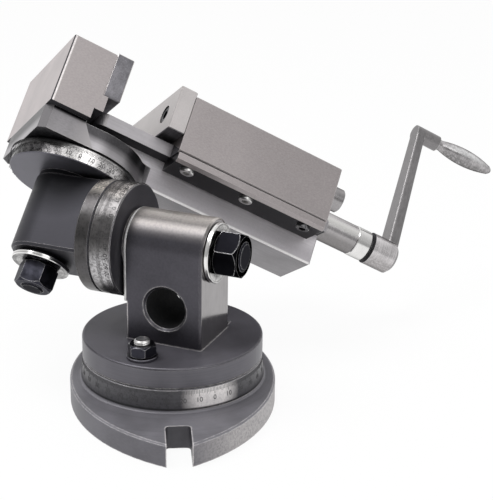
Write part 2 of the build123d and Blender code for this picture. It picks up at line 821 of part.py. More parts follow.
# Movable jaw: a long block that rides on the rails, hollow over the lead nut
with BuildPart() as movable_jaw:
    with BuildSketch(end_plane(vise, movable_face)):
        with BuildLine():
            Polyline(
                (-jaw_half, keeper_high + jaw_foot_break),
                (jaw_foot_break - jaw_half, keeper_high),
                (-guide_half, keeper_high),
                (-guide_half, movable_ride),
                (gib_side, movable_ride),
                (gib_side, keeper_high),
                (jaw_half - jaw_foot_break, keeper_high),
                (jaw_half, keeper_high + jaw_foot_break),
                (jaw_half, movable_top),
                (-jaw_half, movable_top),
                close=True,
            )
        make_face()
    extrude(amount=movable_back - movable_face)
    upper_edges = movable_jaw.faces().sort_by(along_z(vise))[-1].edges()
    rear_corners = movable_jaw.faces().sort_by(along_x(vise))[-1].edges().filter_by(along_z(vise))
    rear_corners = rear_corners.filter_by(lambda e: e.length > movable_ride - keeper_high + clear_gap)
    chamfer(upper_edges + rear_corners, edge_break)
    with BuildSketch(vise.offset(movable_ride)):
        with Locations(((cavity_front + cavity_back) / 2, 0)):
            Rectangle(cavity_back - cavity_front, 2 * cavity_half)
    extrude(amount=cavity_top - movable_ride, mode=Mode.SUBTRACT)
    # Journal bore in the rear wall
    with BuildSketch(screw.offset(movable_back)):
        Circle(journal_radius + running_fit)
    extrude(amount=cavity_back - movable_back, mode=Mode.SUBTRACT)
    with BuildSketch(end_plane(vise, movable_face)):
        with Locations(*plate_places):
            Circle(plate_screw_radius)
    extrude(amount=plate_screw_pilot, mode=Mode.SUBTRACT)
    rear_screw_places = [(-rear_screw_spread, rear_screw_height), (rear_screw_spread, rear_screw_height)]
    with BuildSketch(end_plane(vise, movable_back)):
        with Locations(*rear_screw_places):
            Circle(rear_screw_radius)
    extrude(amount=-rear_screw_reach, mode=Mode.SUBTRACT)
    # Threaded holes of the keeper screws, near and far, and of the gib screws
    with BuildSketch(vise.offset(keeper_high)):
        with Locations(*[(x, -keeper_near_place) for x in keeper_screw_places]):
            Circle(keeper_screw_radius)
        with Locations(*[(x, keeper_far_place) for x in keeper_screw_places]):
            Circle(keeper_screw_radius)
    extrude(amount=keeper_screw_reach, mode=Mode.SUBTRACT)
    with BuildSketch(side_plane(vise, gib_side)):
        with Locations(*[(x, rail_middle) for x in gib_screw_places]):
            Circle(gib_screw_radius)
    extrude(amount=gib_side - jaw_half, mode=Mode.SUBTRACT)

rear_screws = socket_screws(
    end_plane(vise),
    rear_screw_places,
    movable_back,
    rear_screw_head_radius,
    rear_screw_head_height,
    rear_screw_radius,
    rear_screw_reach,
)


# Keeper strips hold the movable jaw down under the rails
def keeper(side, screw_place):
    """A keeper strip on the side -1 or 1, with sunk seats for its screws."""
    with BuildPart() as strip:
        with BuildSketch(end_plane(vise, movable_face + keeper_inset)):
            with BuildLine():
                Polyline(
                    (side * keeper_inner, keeper_high),
                    (side * jaw_half, keeper_high),
                    (side * jaw_half, keeper_low + keeper_break),
                    (side * (jaw_half - keeper_break), keeper_low),
                    (side * keeper_inner, keeper_low),
                    close=True,
                )
            make_face()
        extrude(amount=movable_back - movable_face - 2 * keeper_inset)
        with BuildSketch(vise.offset(keeper_low)):
            with Locations(*[(x, side * screw_place) for x in keeper_screw_places]):
                Circle(keeper_screw_head_radius + head_room)
        extrude(amount=keeper_screw_sink, mode=Mode.SUBTRACT)
        with BuildSketch(vise.offset(keeper_low)):
            with Locations(*[(x, side * screw_place) for x in keeper_screw_places]):
                Circle(keeper_screw_radius + head_room)
        extrude(amount=keeper_thickness, mode=Mode.SUBTRACT)
    return strip.part


def keeper_fasteners(place):
    """The three screws of a keeper strip, driven from below."""
    return socket_screws(
        Plane(origin=vise.origin, x_dir=vise.x_dir, z_dir=-vise.z_dir),
        [(x, -place) for x in keeper_screw_places],
        -keeper_low - keeper_screw_sink,
        keeper_screw_head_radius,
        keeper_screw_head_height,
        keeper_screw_radius,
        keeper_thickness - keeper_screw_sink + keeper_screw_reach,
    )


near_keeper = keeper(-1, keeper_near_place)
far_keeper = keeper(1, keeper_far_place)
near_keeper_screws = keeper_fasteners(-keeper_near_place)
far_keeper_screws = keeper_fasteners(keeper_far_place)

# Gib strip between the far rail and the jaw, and its adjusting screws
with BuildPart() as gib_strip:
    with BuildSketch(end_plane(vise, movable_face + gib_inset)):
        with Locations((guide_half + gib_thickness / 2, rail_middle)):
            Rectangle(gib_thickness, rail_top - rail_low)
    extrude(amount=movable_back - movable_face - 2 * gib_inset)
with BuildPart() as gib_screws:
    with BuildSketch(side_plane(vise, guide_half + gib_thickness)):
        with Locations(*[(x, rail_middle) for x in gib_screw_places]):
            Circle(gib_screw_radius)
    extrude(amount=guide_half + gib_thickness + gib_screw_sink - jaw_half)

# Lead screw: thread, journal, polished shoulder and the neck that carries the crank
with BuildPart() as lead_screw:
    with BuildSketch(screw.offset(thread_start)):
        Circle(thread_radius)
    extrude(amount=ring_start + ring_thickness - thread_start)
    chamfer(lead_screw.edges().group_by(along_x(vise))[0], thread_tip_break)
    with BuildSketch(screw.offset(ring_start + ring_thickness)):
        Circle(journal_radius)
    extrude(amount=hub_end - hub_break - ring_start - ring_thickness)
    with BuildSketch(screw.offset(shoulder_start)):
        Circle(shoulder_radius)
    extrude(amount=shoulder_end - shoulder_start)
    shoulder_rims = lead_screw.edges(Select.LAST).filter_by(GeomType.CIRCLE)
    chamfer(shoulder_rims.sort_by(SortBy.RADIUS)[-2:], edge_break)
    with BuildSketch(crank.offset(-ring_radius)):
        with Locations((ring_start + ring_thickness / 2, 0)):
            Circle(ring_pin_radius)
    extrude(amount=2 * ring_radius, mode=Mode.SUBTRACT)

with BuildPart() as sleeve:
    with BuildSketch(screw.offset(sleeve_start)):
        Circle(sleeve_radius)
        Circle(journal_radius, mode=Mode.SUBTRACT)
    extrude(amount=shoulder_start - sleeve_start)
    chamfer(sleeve.edges().filter_by(GeomType.CIRCLE).sort_by(SortBy.RADIUS)[-2:], washer_break)

with BuildPart() as thrust_ring:
    with BuildSketch(screw.offset(ring_start)):
        Circle(ring_radius)
        Circle(thread_radius, mode=Mode.SUBTRACT)
    extrude(amount=ring_thickness)
    chamfer(thrust_ring.edges().filter_by(GeomType.CIRCLE).sort_by(SortBy.RADIUS)[-2:], edge_break)
    with BuildSketch(crank.offset(-ring_radius)):
        with Locations((ring_start + ring_thickness / 2, 0)):
            Circle(ring_pin_radius)
    extrude(amount=2 * ring_radius, mode=Mode.SUBTRACT)

with BuildPart() as ring_pin:
    with BuildSketch(crank.offset(-ring_radius + edge_break)):
        with Locations((ring_start + ring_thickness / 2, 0)):
            Circle(ring_pin_radius)
    extrude(amount=2 * (ring_radius - edge_break))

# Lead nut: a block over the bed with a long foot in the channel
with BuildPart() as lead_nut:
    with BuildSketch(vise.offset(rail_top - channel_depth)):
        with Locations((lead_foot_start + lead_foot_length / 2, 0)):
            Rectangle(lead_foot_length, 2 * (channel_half - lead_foot_play))
    extrude(amount=channel_depth)
    with BuildSketch(vise.offset(rail_top)):
        with Locations((lead_nut_start + lead_nut_length / 2, 0)):
            Rectangle(lead_nut_length, 2 * lead_nut_half)
    extrude(amount=lead_nut_top - rail_top)
    nut_tops = lead_nut.faces().sort_by(along_z(vise))[-1].edges()
    chamfer(nut_tops, edge_break)
    with BuildSketch(screw.offset(lead_nut_start)):
        Circle(thread_radius + running_fit)
    extrude(amount=lead_nut_length, mode=Mode.SUBTRACT)
    with BuildSketch(vise.offset(rail_top - channel_depth)):
        with Locations(*lead_screw_places):
            Circle(lead_screw_radius)
    extrude(amount=lead_screw_reach, mode=Mode.SUBTRACT)

lead_screw_up = body_low + lead_screw_sink
lead_nut_screws = socket_screws(
    Plane(origin=vise.origin, x_dir=vise.x_dir, z_dir=-vise.z_dir),
    lead_screw_places,
    -lead_screw_up,
    lead_screw_head_radius,
    lead_screw_head_height,
    lead_screw_radius,
    rail_top - channel_depth + lead_screw_reach - lead_screw_up,
)

# Crank: hub on the screw's neck, a tapered flat arm and the boss of the handle
with BuildPart() as crank_arm:
    with BuildSketch(end_plane(crank, arm_start)):
        Circle(arm_width / 2)
        with Locations((0, crank_radius)):
            Circle(arm_tip_width / 2)
        make_hull()
    extrude(amount=arm_thickness)
    with BuildSketch(side_plane(crank)):
        with BuildLine():
            Polyline(
                (hub_end, -arm_width / 2),
                (arm_start + arm_tip_thickness, crank_radius + arm_tip_width / 2),
                (hub_end, crank_radius + arm_tip_width / 2),
                close=True,
            )
        make_face()
    extrude(amount=arm_width, both=True, mode=Mode.SUBTRACT)
    arm_faces = crank_arm.faces().sort_by(along_x(crank))
    fillet(arm_faces[0].edges() + arm_faces[-1].edges(), arm_round)
    with BuildSketch(side_plane(crank)):
        with BuildLine():
            Polyline(
                (hub_start, 0),
                (hub_start, hub_radius),
                (hub_end - hub_break, hub_radius),
                (hub_end, hub_radius - hub_break),
                (hub_end, 0),
                close=True,
            )
        make_face()
    revolve(axis=along_x(crank))
    with BuildSketch(end_plane(crank, arm_start)):
        with Locations((0, crank_radius)):
            Circle(boss_radius)
    extrude(amount=boss_end - arm_start)
    with BuildSketch(end_plane(crank, hub_start)):
        Circle(journal_radius)
    extrude(amount=hub_end - hub_break - hub_start, mode=Mode.SUBTRACT)
    with BuildSketch(end_plane(crank, spindle_start)):
        with Locations((0, crank_radius)):
            Circle(spindle_radius)
    extrude(amount=boss_end - spindle_start, mode=Mode.SUBTRACT)
    with BuildSketch(side_plane(crank, hub_radius)):
        with Locations(((hub_start + arm_start) / 2, 0)):
            Circle(set_screw_radius)
    extrude(amount=hub_radius, mode=Mode.SUBTRACT)

with BuildPart() as set_screw:
    with BuildSketch(side_plane(crank, journal_radius)):
        with Locations(((hub_start + arm_start) / 2, 0)):
            Circle(set_screw_radius)
    extrude(amount=-set_screw_depth)

# Handle spindle, pressed into the boss, and the turned handle that spins on it
handle = end_plane(vise.offset(screw_height + crank_radius))
grip_end = grip_start + grip_length
spindle_end = grip_end - grip_end_wall - clear_gap
with BuildPart() as handle_spindle:
    with BuildSketch(handle.offset(spindle_start)):
        Circle(spindle_radius)
    extrude(amount=spindle_end - spindle_start)

with BuildPart() as handle_grip:
    with BuildSketch(side_plane(vise.offset(screw_height + crank_radius))):
        with BuildLine():
            neck = grip_start + grip_length * grip_neck_share
            belly = grip_start + grip_length * grip_belly_share
            tail = grip_start + grip_length * grip_end_share
            Line((grip_start, 0), (grip_start, grip_neck_radius))
            Line((grip_start, grip_neck_radius), (neck, grip_neck_radius))
            Spline((neck, grip_neck_radius), (belly, grip_radius), (tail, grip_end_radius))
            Spline((tail, grip_end_radius), (grip_end, 0), tangents=((1, -1), (0, -1)))
            Line((grip_end, 0), (grip_start, 0))
        make_face()
    revolve(axis=Axis(handle.origin, vise.x_dir))
    with BuildSketch(handle.offset(grip_start)):
        Circle(spindle_radius + running_fit)
    extrude(amount=spindle_end + clear_gap - grip_start, mode=Mode.SUBTRACT)

pieces = {
    "base_casting": base_casting.part,
    "centre_pin": centre_pin.part,
    "swivel_bracket": swivel_bracket.part,
    "clamp_bolts": clamp_bolts.part,
    "clamp_washers": clamp_washers.part,
    "clamp_nuts": clamp_nuts.part,
    "angle_head": angle_head.part,
    "tilt_stud": tilt_stud.part,
    "tilt_washer": tilt_washer,
    "tilt_nut": tilt_nut,
    "swivel_stud": swivel_stud.part,
    "seat_ring": seat_ring,
    "swivel_washer": swivel_washer,
    "swivel_nut": swivel_nut,
    "vise_body": vise_body.part,
    "fixed_jaw": fixed_jaw.part,
    "jaw_screws": jaw_screws,
    "fixed_plate": fixed_plate,
    "fixed_plate_screws": fixed_plate_screws,
    "movable_jaw": movable_jaw.part,
    "movable_plate": movable_plate,
    "movable_plate_screws": movable_plate_screws,
    "rear_screws": rear_screws,
    "near_keeper": near_keeper,
    "far_keeper": far_keeper,
    "near_keeper_screws": near_keeper_screws,
    "far_keeper_screws": far_keeper_screws,
    "gib_strip": gib_strip.part,
    "gib_screws": gib_screws.part,
    "lead_screw": lead_screw.part,
    "sleeve": sleeve.part,
    "thrust_ring": thrust_ring.part,
    "ring_pin": ring_pin.part,
    "lead_nut": lead_nut.part,
    "lead_nut_screws": lead_nut_screws,
    "crank_arm": crank_arm.part,
    "set_screw": set_screw.part,
    "handle_spindle": handle_spindle.part,
    "handle_grip": handle_grip.part,
}
for name, piece in pieces.items():
    piece.label = name
    export_step(piece, f"parts/{name}.step")
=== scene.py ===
import json
import math

import bmesh
import bpy
from bpy.props import FloatProperty, FloatVectorProperty, IntProperty, PointerProperty
from mathutils import Matrix, Vector


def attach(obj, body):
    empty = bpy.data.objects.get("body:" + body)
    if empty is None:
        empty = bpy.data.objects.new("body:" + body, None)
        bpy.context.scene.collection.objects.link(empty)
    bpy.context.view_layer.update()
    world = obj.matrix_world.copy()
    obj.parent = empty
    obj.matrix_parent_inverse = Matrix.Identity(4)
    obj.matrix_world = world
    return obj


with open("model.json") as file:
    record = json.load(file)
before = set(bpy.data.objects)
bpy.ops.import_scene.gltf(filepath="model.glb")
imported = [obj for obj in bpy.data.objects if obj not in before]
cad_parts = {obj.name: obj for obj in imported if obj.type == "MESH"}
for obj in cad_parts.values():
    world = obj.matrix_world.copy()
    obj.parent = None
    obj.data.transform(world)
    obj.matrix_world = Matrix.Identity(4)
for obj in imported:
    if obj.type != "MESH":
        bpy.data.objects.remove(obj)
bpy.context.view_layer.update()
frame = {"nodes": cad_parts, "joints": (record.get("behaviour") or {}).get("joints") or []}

bl_info = {
    "name": "Milling vise finishes",
    "version": (1, 0, 0),
    "blender": (4, 5, 0),
    "location": "View3D > Sidebar > Vise",
    "description": "Gives a swivelling, tilting milling vise its metals, scales, threads and studio",
    "category": "Object",
}

MM = 0.001
WHITE = (1.0, 1.0, 1.0, 1.0)

# Marks of wear, grinding and turning that several metals share, and settings that paint shade
WORN_CASTING = {"worn": 1, "bare": (0.85, 0.82, 0.82)}
WORN_GUNMETAL = {"worn": 1, "bare": (0.9, 0.87, 0.86)}
WORN_BRIGHT = {"worn": 1, "bare": (0.95, 0.95, 0.95)}
CAST_SKIN = {"lines": (750, 750, 750), "streak": 0.08}
BED_GRINDING = {"lines": (60, 900, 900), "streak": 0.08, "cloud": 0.14, "cloud_scale": 30}
JAW_GRINDING = {"lines": (600, 1300, 1300), "streak": 0.1, "bare": (0.85, 0.83, 0.82)}
BACK_LINES = (300, 60, 1500)
PLATE_LINES = (1200, 60, 1200)
PLAIN_LATHE = (400, 400)
SATIN_LATHE = (900, 1100)
SCALE_TURNING = {
    "lathe": (900, 1300), "streak": 0.14, "cloud": 0.35, "cloud_scale": 70, "stain": 0.55,
}
# Settings of the near-black metals that paint shade under and behind parts
SHADED = {"metallic": 0.4, "cloud": 0.3}
# Colour of the painted shade lines in the gaps and at the steps of turned parts
GAP_SHADE_TONE = (0.02, 0.02, 0.022)

# Shares of a face's normal along an axis
SQUARE = 0.9
UPRIGHT = 0.5
SLANTED = 0.3

# Where the parts of a casting begin or end, seen from its place
BLOCK_LOW = 50 * MM
DIAL_LOW = 30 * MM
PAD_END = 50 * MM
BED_BOTTOM = 65 * MM
RAIL_LOW = 70 * MM

# Big bore across the block, seen from the block's place, with a little added to its radius
BORE_MIDDLE_X = 5.1 * MM
BORE_MIDDLE_Z = 72.8 * MM
BORE_REACH = 14.7 * MM

# Lengths on a scale, in lengths of its shortest line or in heights of its numbers
TENTH_LINE = 1.75
FIFTH_LINE = 1.35
NUMBER_LINE = 1.95
NUMBER_DROP = 0.6

joints = {joint["name"]: joint for joint in frame["joints"]}
nodes = frame["nodes"]


# Places of the sub-assemblies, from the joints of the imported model
def place_from(x_axis, z_axis, origin):
    """A place whose X and Z run along two square axes, as a matrix."""
    z_axis = Vector(z_axis).normalized()
    x_axis = Vector(x_axis).normalized()
    y_axis = z_axis.cross(x_axis)
    turn = Matrix((x_axis, y_axis, z_axis)).transposed().to_4x4()
    return Matrix.Translation(Vector(origin)) @ turn


across = -Vector(joints["head_tilt"]["axis"])
barrel_up = Vector(joints["vise_swivel"]["axis"])
bed_along = Vector(joints["jaw_slide"]["axis"])
ground_up = Vector((0.0, 0.0, 1.0))
tilt_centre = Vector(joints["head_tilt"]["pos_m"])
barrel_centre = Vector(joints["vise_swivel"]["pos_m"])
screw_centre = Vector(joints["crank_turn"]["pos_m"])
grip_centre = Vector(joints["grip_spin"]["pos_m"])

base_place = Matrix.Identity(4)
block_place = place_from(across, ground_up, (0.0, 0.0, 0.0))
tilt_place = place_from(ground_up, across, tilt_centre)
head_place = place_from(across, barrel_up, barrel_centre)
vise_place = place_from(bed_along, barrel_up, barrel_centre)
screw_place = place_from(barrel_up, bed_along, screw_centre)
grip_place = place_from(barrel_up, bed_along, grip_centre)


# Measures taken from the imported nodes
def local_points(node, place):
    """The node's vertices, seen from a place."""
    inverse = place.inverted()
    return [inverse @ vertex.co for vertex in nodes[node].data.vertices]


def across_axis(point):
    """Distance of a point from its place's Z axis."""
    return math.hypot(point.x, point.y)


def span_along(node, place, axis=2):
    """Lowest and highest point of a node along one of a place's axes, its Z unless told."""
    heights = [point[axis] for point in local_points(node, place)]
    return min(heights), max(heights)


def ring_radius(node, place, low, high, limit=math.inf):
    """Largest radius of a node between two heights on a place's Z axis, below a limit."""
    radii = [across_axis(point) for point in local_points(node, place) if low <= point.z <= high]
    return max(radius for radius in radii if radius < limit)


def tilt_flange():
    """Where the tilt flanges meet along their axis, and their radius there."""
    edge = span_along("angle_head", tilt_place)[1]
    return edge, ring_radius("angle_head", tilt_place, edge - 6 * MM, edge, 60 * MM)


def dial_radius(top):
    """Radius of the swivel dial just below its top."""
    return ring_radius("angle_head", head_place, top - 8 * MM, top)


# Sizes and colours that a user would change
def colour_setting(name, description, *default):
    return FloatVectorProperty(
        name=name, description=description, default=default, subtype="COLOR", min=0.0, max=1.0,
    )


def measure(name, description, default, subtype="DISTANCE", unit="LENGTH", **least):
    return FloatProperty(
        name=name, description=description, default=default, subtype=subtype, unit=unit, **least,
    )


class ViseMetalTones(bpy.types.PropertyGroup):
    """Colours of the vise's metals."""

    base_casting: colour_setting(
        "Base casting", "Dark satin metal of the base", 0.15, 0.146, 0.162,
    )
    bracket_casting: colour_setting(
        "Bracket casting", "Gunmetal of the turntable and block", 0.078, 0.075, 0.087,
    )
    head_casting: colour_setting(
        "Head casting", "Gunmetal of the barrel and dial", 0.047, 0.046, 0.054,
    )
    graduated_band: colour_setting(
        "Graduated bands", "Bright metal round the scales", 0.3, 0.288, 0.29,
    )
    ground_steel: colour_setting("Ground steel", "Surface ground jaws", 0.375, 0.344, 0.344)
    bed_steel: colour_setting("Bed steel", "Ground bed and rails", 0.4, 0.385, 0.4)
    plate_steel: colour_setting("Plate steel", "Hardened jaw plates", 0.5, 0.474, 0.47)
    plate_end: colour_setting("Plate ends", "Dark ends of the jaw plates", 0.205, 0.2, 0.215)
    black_oxide: colour_setting(
        "Black oxide", "Nuts, keepers and socket screws", 0.018, 0.018, 0.023,
    )
    # Near-black colour that paints the shade in bores, on undersides and behind parts
    bare_underside: colour_setting(
        "Undersides", "Painted shade in bores and on undersides", 0.03, 0.029, 0.034,
    )
    bright_steel: colour_setting(
        "Bright steel", "Washers, studs and polished steps", 0.82, 0.81, 0.8,
    )
    satin_plate: colour_setting("Satin plating", "Crank, sleeve and handle", 0.43, 0.415, 0.42)
    bronze: colour_setting("Bronze", "Lead nut", 0.55, 0.36, 0.16)
    mark_fill: colour_setting(
        "Mark fill", "Dark fill of the engraved lines and numbers", 0.035, 0.034, 0.036,
    )


class ViseScaleSizes(bpy.types.PropertyGroup):
    """Sizes of the engraved scales and the threads."""

    line_width: measure("Line width", "Width of an engraved line", 0.22 * MM, min=0.05 * MM)
    line_length: measure("Line length", "Length of the shortest line", 2.6 * MM, min=0.5 * MM)
    number_height: measure("Number height", "Height of the stamped numbers", 3.3 * MM, min=1.0 * MM)
    mark_proud: measure(
        "Mark height", "How far the dark fill stands on the metal", 0.04 * MM, min=0.01 * MM,
    )
    degrees_per_line: IntProperty(
        name="Degrees per line", description="Step between two lines", default=1, min=1,
    )
    degrees_per_number: IntProperty(
        name="Degrees per number", description="Step between two numbers", default=10, min=5,
    )
    bolt_pitch: measure("Bolt pitch", "Thread pitch of the clamp bolts", 1.25 * MM, min=0.3 * MM)
    screw_pitch: measure(
        "Lead screw pitch", "Thread pitch of the lead screw", 4.0 * MM, min=1.0 * MM,
    )


class ViseStageLook(bpy.types.PropertyGroup):
    """Floor, light and camera of the studio."""

    floor_tone: colour_setting("Floor", "Colour of the pale floor", 0.9, 0.9, 0.9)
    floor_radius: measure("Floor radius", "Reach of the floor", 30.0, min=1.0)
    floor_whiteness: FloatProperty(
        name="Floor whiteness", description="Share of plain white in how the floor is seen",
        default=0.93, min=0.0, max=1.0, subtype="FACTOR",
    )
    key_power: measure(
        "Key power", "Power of the soft box overhead", 10.0, "POWER", "POWER", min=0.0,
    )
    side_power: measure(
        "Side power", "Power of the soft box at the right", 3.4, "POWER", "POWER", min=0.0,
    )
    sky_level: FloatProperty(
        name="Sky level", description="Strength of the soft light all round", default=0.72, min=0.0,
    )
    camera_azimuth: measure(
        "Azimuth", "Camera's turn to the right", math.radians(-2.19), "ANGLE", "ROTATION",
    )
    camera_elevation: measure(
        "Elevation", "Camera's angle above the floor", math.radians(20.11), "ANGLE", "ROTATION",
    )
    camera_roll: measure("Roll", "Camera's lean", math.radians(0.91), "ANGLE", "ROTATION")
    camera_pan: measure(
        "Pan", "Turn of the view to the right of its target", 0.05256, "ANGLE", "ROTATION",
    )
    camera_tilt: measure("Tilt", "Turn of the view above its target", -0.00375, "ANGLE", "ROTATION")
    camera_distance: measure("Distance", "Camera's distance from its target", 0.94955, min=0.1)
    camera_lens: measure(
        "Lens", "Focal length of the camera", 101.55, "DISTANCE_CAMERA", "CAMERA", min=10.0,
    )


# Wiring of the procedural metals and of the light
class Wiring:
    """Adds shader nodes to one new material or world and joins them."""

    def __init__(self, owner):
        owner.use_nodes = True
        self.owner = owner
        self.tree = owner.node_tree
        self.shader = self.tree.nodes.get("Principled BSDF")

    def put(self, socket, value):
        """Joins a socket to an output, or sets its own value."""
        if isinstance(value, bpy.types.NodeSocket):
            self.tree.links.new(value, socket)
        else:
            socket.default_value = value

    def add(self, kind, inputs, output=0, **settings):
        """Adds a node with its inputs by name or number and gives one output."""
        node = self.tree.nodes.new(kind)
        for name, value in settings.items():
            setattr(node, name, value)
        for key, value in inputs.items():
            self.put(node.inputs[key], value)
        return node.outputs[output]

    def maths(self, operation, first, second):
        return self.add("ShaderNodeMath", {0: first, 1: second}, operation=operation)

    def times(self, first, second):
        return self.maths("MULTIPLY", first, second)

    def ranged(self, value, low, high, to_low, to_high):
        """Maps a value from one range onto another, held at both ends."""
        return self.add("ShaderNodeMapRange", {0: value, 1: low, 2: high, 3: to_low, 4: to_high})

    def noise(self, vector, scale, detail=3.0, roughness=0.55):
        inputs = {"Vector": vector, "Scale": scale, "Detail": detail, "Roughness": roughness}
        return self.add("ShaderNodeTexNoise", inputs)

    def mixed(self, share, first, second):
        """A colour between two colours."""
        inputs = {0: share, 6: first, 7: second}
        return self.add("ShaderNodeMix", inputs, output=2, data_type="RGBA")

    def spot(self, place):
        """Position on the piece at rest, seen from a place."""
        inverse = place.inverted()
        inputs = {
            "Vector": self.add("ShaderNodeTexCoord", {}, output="Object"),
            "Location": inverse.to_translation(),
            "Rotation": inverse.to_euler(),
        }
        return self.add("ShaderNodeMapping", inputs, vector_type="POINT")

    def vector_maths(self, operation, *vectors, output="Vector"):
        inputs = dict(enumerate(vectors))
        return self.add("ShaderNodeVectorMath", inputs, output=output, operation=operation)

    def stretched(self, vector, scale):
        """A position stretched by its own scale along each axis."""
        return self.vector_maths("MULTIPLY", vector, scale)

    def turned(self, vector):
        """Distance from the axis and height along it, as marks of a lathe follow them."""
        flat = self.stretched(vector, (1, 1, 0))
        radius = self.vector_maths("LENGTH", flat, output="Value")
        height = self.add("ShaderNodeSeparateXYZ", {0: vector}, output="Z")
        return self.add("ShaderNodeCombineXYZ", {0: radius, 1: height})

    def edges(self, radius):
        """A mask that is high on the piece's outer and inner edges."""
        smooth = self.add("ShaderNodeBevel", {"Radius": radius}, samples=6)
        sharp = self.add("ShaderNodeNewGeometry", {}, output="Normal")
        match = self.vector_maths("DOT_PRODUCT", smooth, sharp, output="Value")
        return self.ranged(match, 0.985, 0.8, 0, 1)


def colour_of(tone, share=1.0):
    """A tone of the settings as a shader colour, lighter or darker by a share."""
    return (tone[0] * share, tone[1] * share, tone[2] * share, 1.0)


def metal(name, place, tone, roughness, share=1, metallic=1, lines=(400, 400, 400), lathe=None,
          streak=0.06, cloud=0.1, cloud_scale=45, worn=0, bare=None, edge=0.5, stain=0,
          patches=(), patch_reach=(1, 1, 1), patch_low=0.2, edge_tint=1):
    """A procedural metal with broad clouds, fine tool lines, colour patches and worn edges.

    Its colour is a share of a tone of the settings. Lines count to the metre along the place's
    axes, or with a lathe across and along its Z axis. A patch is a middle, a radius, both in
    millimetres like the edge, a colour and perhaps its own reach. It has no end along an axis
    of zero reach and shows at least by patch_low. Most patches are painted light: painted
    highlights and reflections, and painted shade on lower sides, in hollows and in gaps. A few
    give the metal its own colour. Worn edges are rubbed metal, and where they are wide and bright
    they also paint edge highlights. A low edge_tint darkens flat-angle reflections.
    """
    wiring = Wiring(bpy.data.materials.new(name))
    inputs = wiring.shader.inputs
    tone = colour_of(getattr(bpy.context.scene.vise_tones, tone), share)
    spot = wiring.spot(place)
    path = wiring.turned(spot) if lathe else spot
    fine = wiring.noise(wiring.stretched(path, (*lathe, 1) if lathe else lines), 1, detail=2)
    broad = wiring.noise(spot, cloud_scale, detail=4)
    shade = wiring.times(
        wiring.ranged(fine, 0.3, 0.7, 1 - streak, 1 + streak),
        wiring.ranged(broad, 0.3, 0.7, 1 - cloud, 1 + cloud),
    )
    scaled = {0: tone[:3], "Scale": shade}
    colour = wiring.add("ShaderNodeVectorMath", scaled, operation="SCALE")
    if stain:
        speck = wiring.noise(spot, 520, detail=5, roughness=0.7)
        dark = wiring.ranged(speck, 0.5, 0.64, 0, stain)
        colour = wiring.mixed(dark, colour, colour_of(tone, 0.22))
    # Colour patches: mostly painted highlights, painted reflections and painted shade
    for middle, radius, patch_colour, *own_reach in patches:
        flat = wiring.stretched(spot, own_reach[0] if own_reach else patch_reach)
        centre = [part * MM for part in middle]
        away = wiring.vector_maths("DISTANCE", flat, centre, output="Value")
        near = wiring.ranged(away, radius * MM, 0.45 * radius * MM, 0, 1)
        speck = wiring.noise(spot, 620, detail=4, roughness=0.7)
        shown = wiring.times(near, wiring.ranged(speck, 0.38, 0.56, patch_low, 1))
        colour = wiring.mixed(shown, colour, colour_of(patch_colour))
    # Worn edges of rubbed metal; wide, bright ones also paint edge highlights
    if worn:
        rub = wiring.ranged(wiring.noise(spot, 260, detail=4), 0.34, 0.56, 0.35, 1)
        rim = wiring.times(wiring.edges(edge * MM), wiring.times(rub, worn))
        colour = wiring.mixed(rim, colour, colour_of(bare or tone))
    wiring.put(inputs["Base Color"], colour)
    wiring.put(inputs["Metallic"], metallic)
    wiring.put(inputs["Specular Tint"], (edge_tint, edge_tint, edge_tint, 1))
    by_line = wiring.ranged(fine, 0.3, 0.7, roughness * 0.92, roughness * 1.08)
    by_cloud = wiring.ranged(broad, 0.3, 0.7, -0.06 * roughness, 0.06 * roughness)
    wiring.put(inputs["Roughness"], wiring.maths("ADD", by_line, by_cloud))
    height = wiring.maths("ADD", fine, wiring.times(broad, 0.6))
    relief = {"Strength": 1, "Distance": 0.02 * MM, "Height": height}
    wiring.put(inputs["Normal"], wiring.add("ShaderNodeBump", relief))
    return wiring.owner


def finish(material, *names):
    """Gives CAD nodes one metal all over."""
    for name in names:
        mesh = nodes[name].data
        mesh.materials.clear()
        mesh.materials.append(material)


def finish_faces(node, place, *choices):
    """Gives metals to faces; each has a test of where a face is at, and of its normal."""
    mesh = nodes[node].data
    inverse = place.inverted()
    turn = inverse.to_3x3()
    for material, chosen in choices:
        mesh.materials.append(material)
        slot = len(mesh.materials) - 1
        for face in mesh.polygons:
            if chosen(inverse @ face.center, turn @ face.normal):
                face.material_index = slot


def at_corner(at, normal):
    """Whether a face slants away to the near left, as the jaws' corners do."""
    return normal.x < -SLANTED and normal.y < -SLANTED


# Meshes of the scales and threads
def mesh_from(shape, name):
    """The mesh of a shape that is done with."""
    mesh = bpy.data.meshes.new(name)
    shape.to_mesh(mesh)
    shape.free()
    return mesh


def put_in_scene(name, data):
    """A new object in the scene."""
    thing = bpy.data.objects.new(name, data)
    bpy.context.scene.collection.objects.link(thing)
    return thing


def add_piece(mesh, material, body):
    """Puts a mesh into the scene on a body of the vise, under the mesh's name."""
    piece = put_in_scene(mesh.name, mesh)
    mesh.materials.append(material)
    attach(piece, body)


def number_shape(text, height, depth):
    """Outline of a stamped number as a thin mesh, centred on its middle."""
    letters = bpy.data.curves.new("number", "FONT")
    letters.body = text
    letters.size = height / 0.7
    letters.align_x = "CENTER"
    letters.align_y = "CENTER"
    letters.extrude = depth
    letters.resolution_u = 3
    holder = bpy.data.objects.new("number", letters)
    mesh = bpy.data.meshes.new_from_object(holder)
    bpy.data.objects.remove(holder)
    bpy.data.curves.remove(letters)
    return mesh


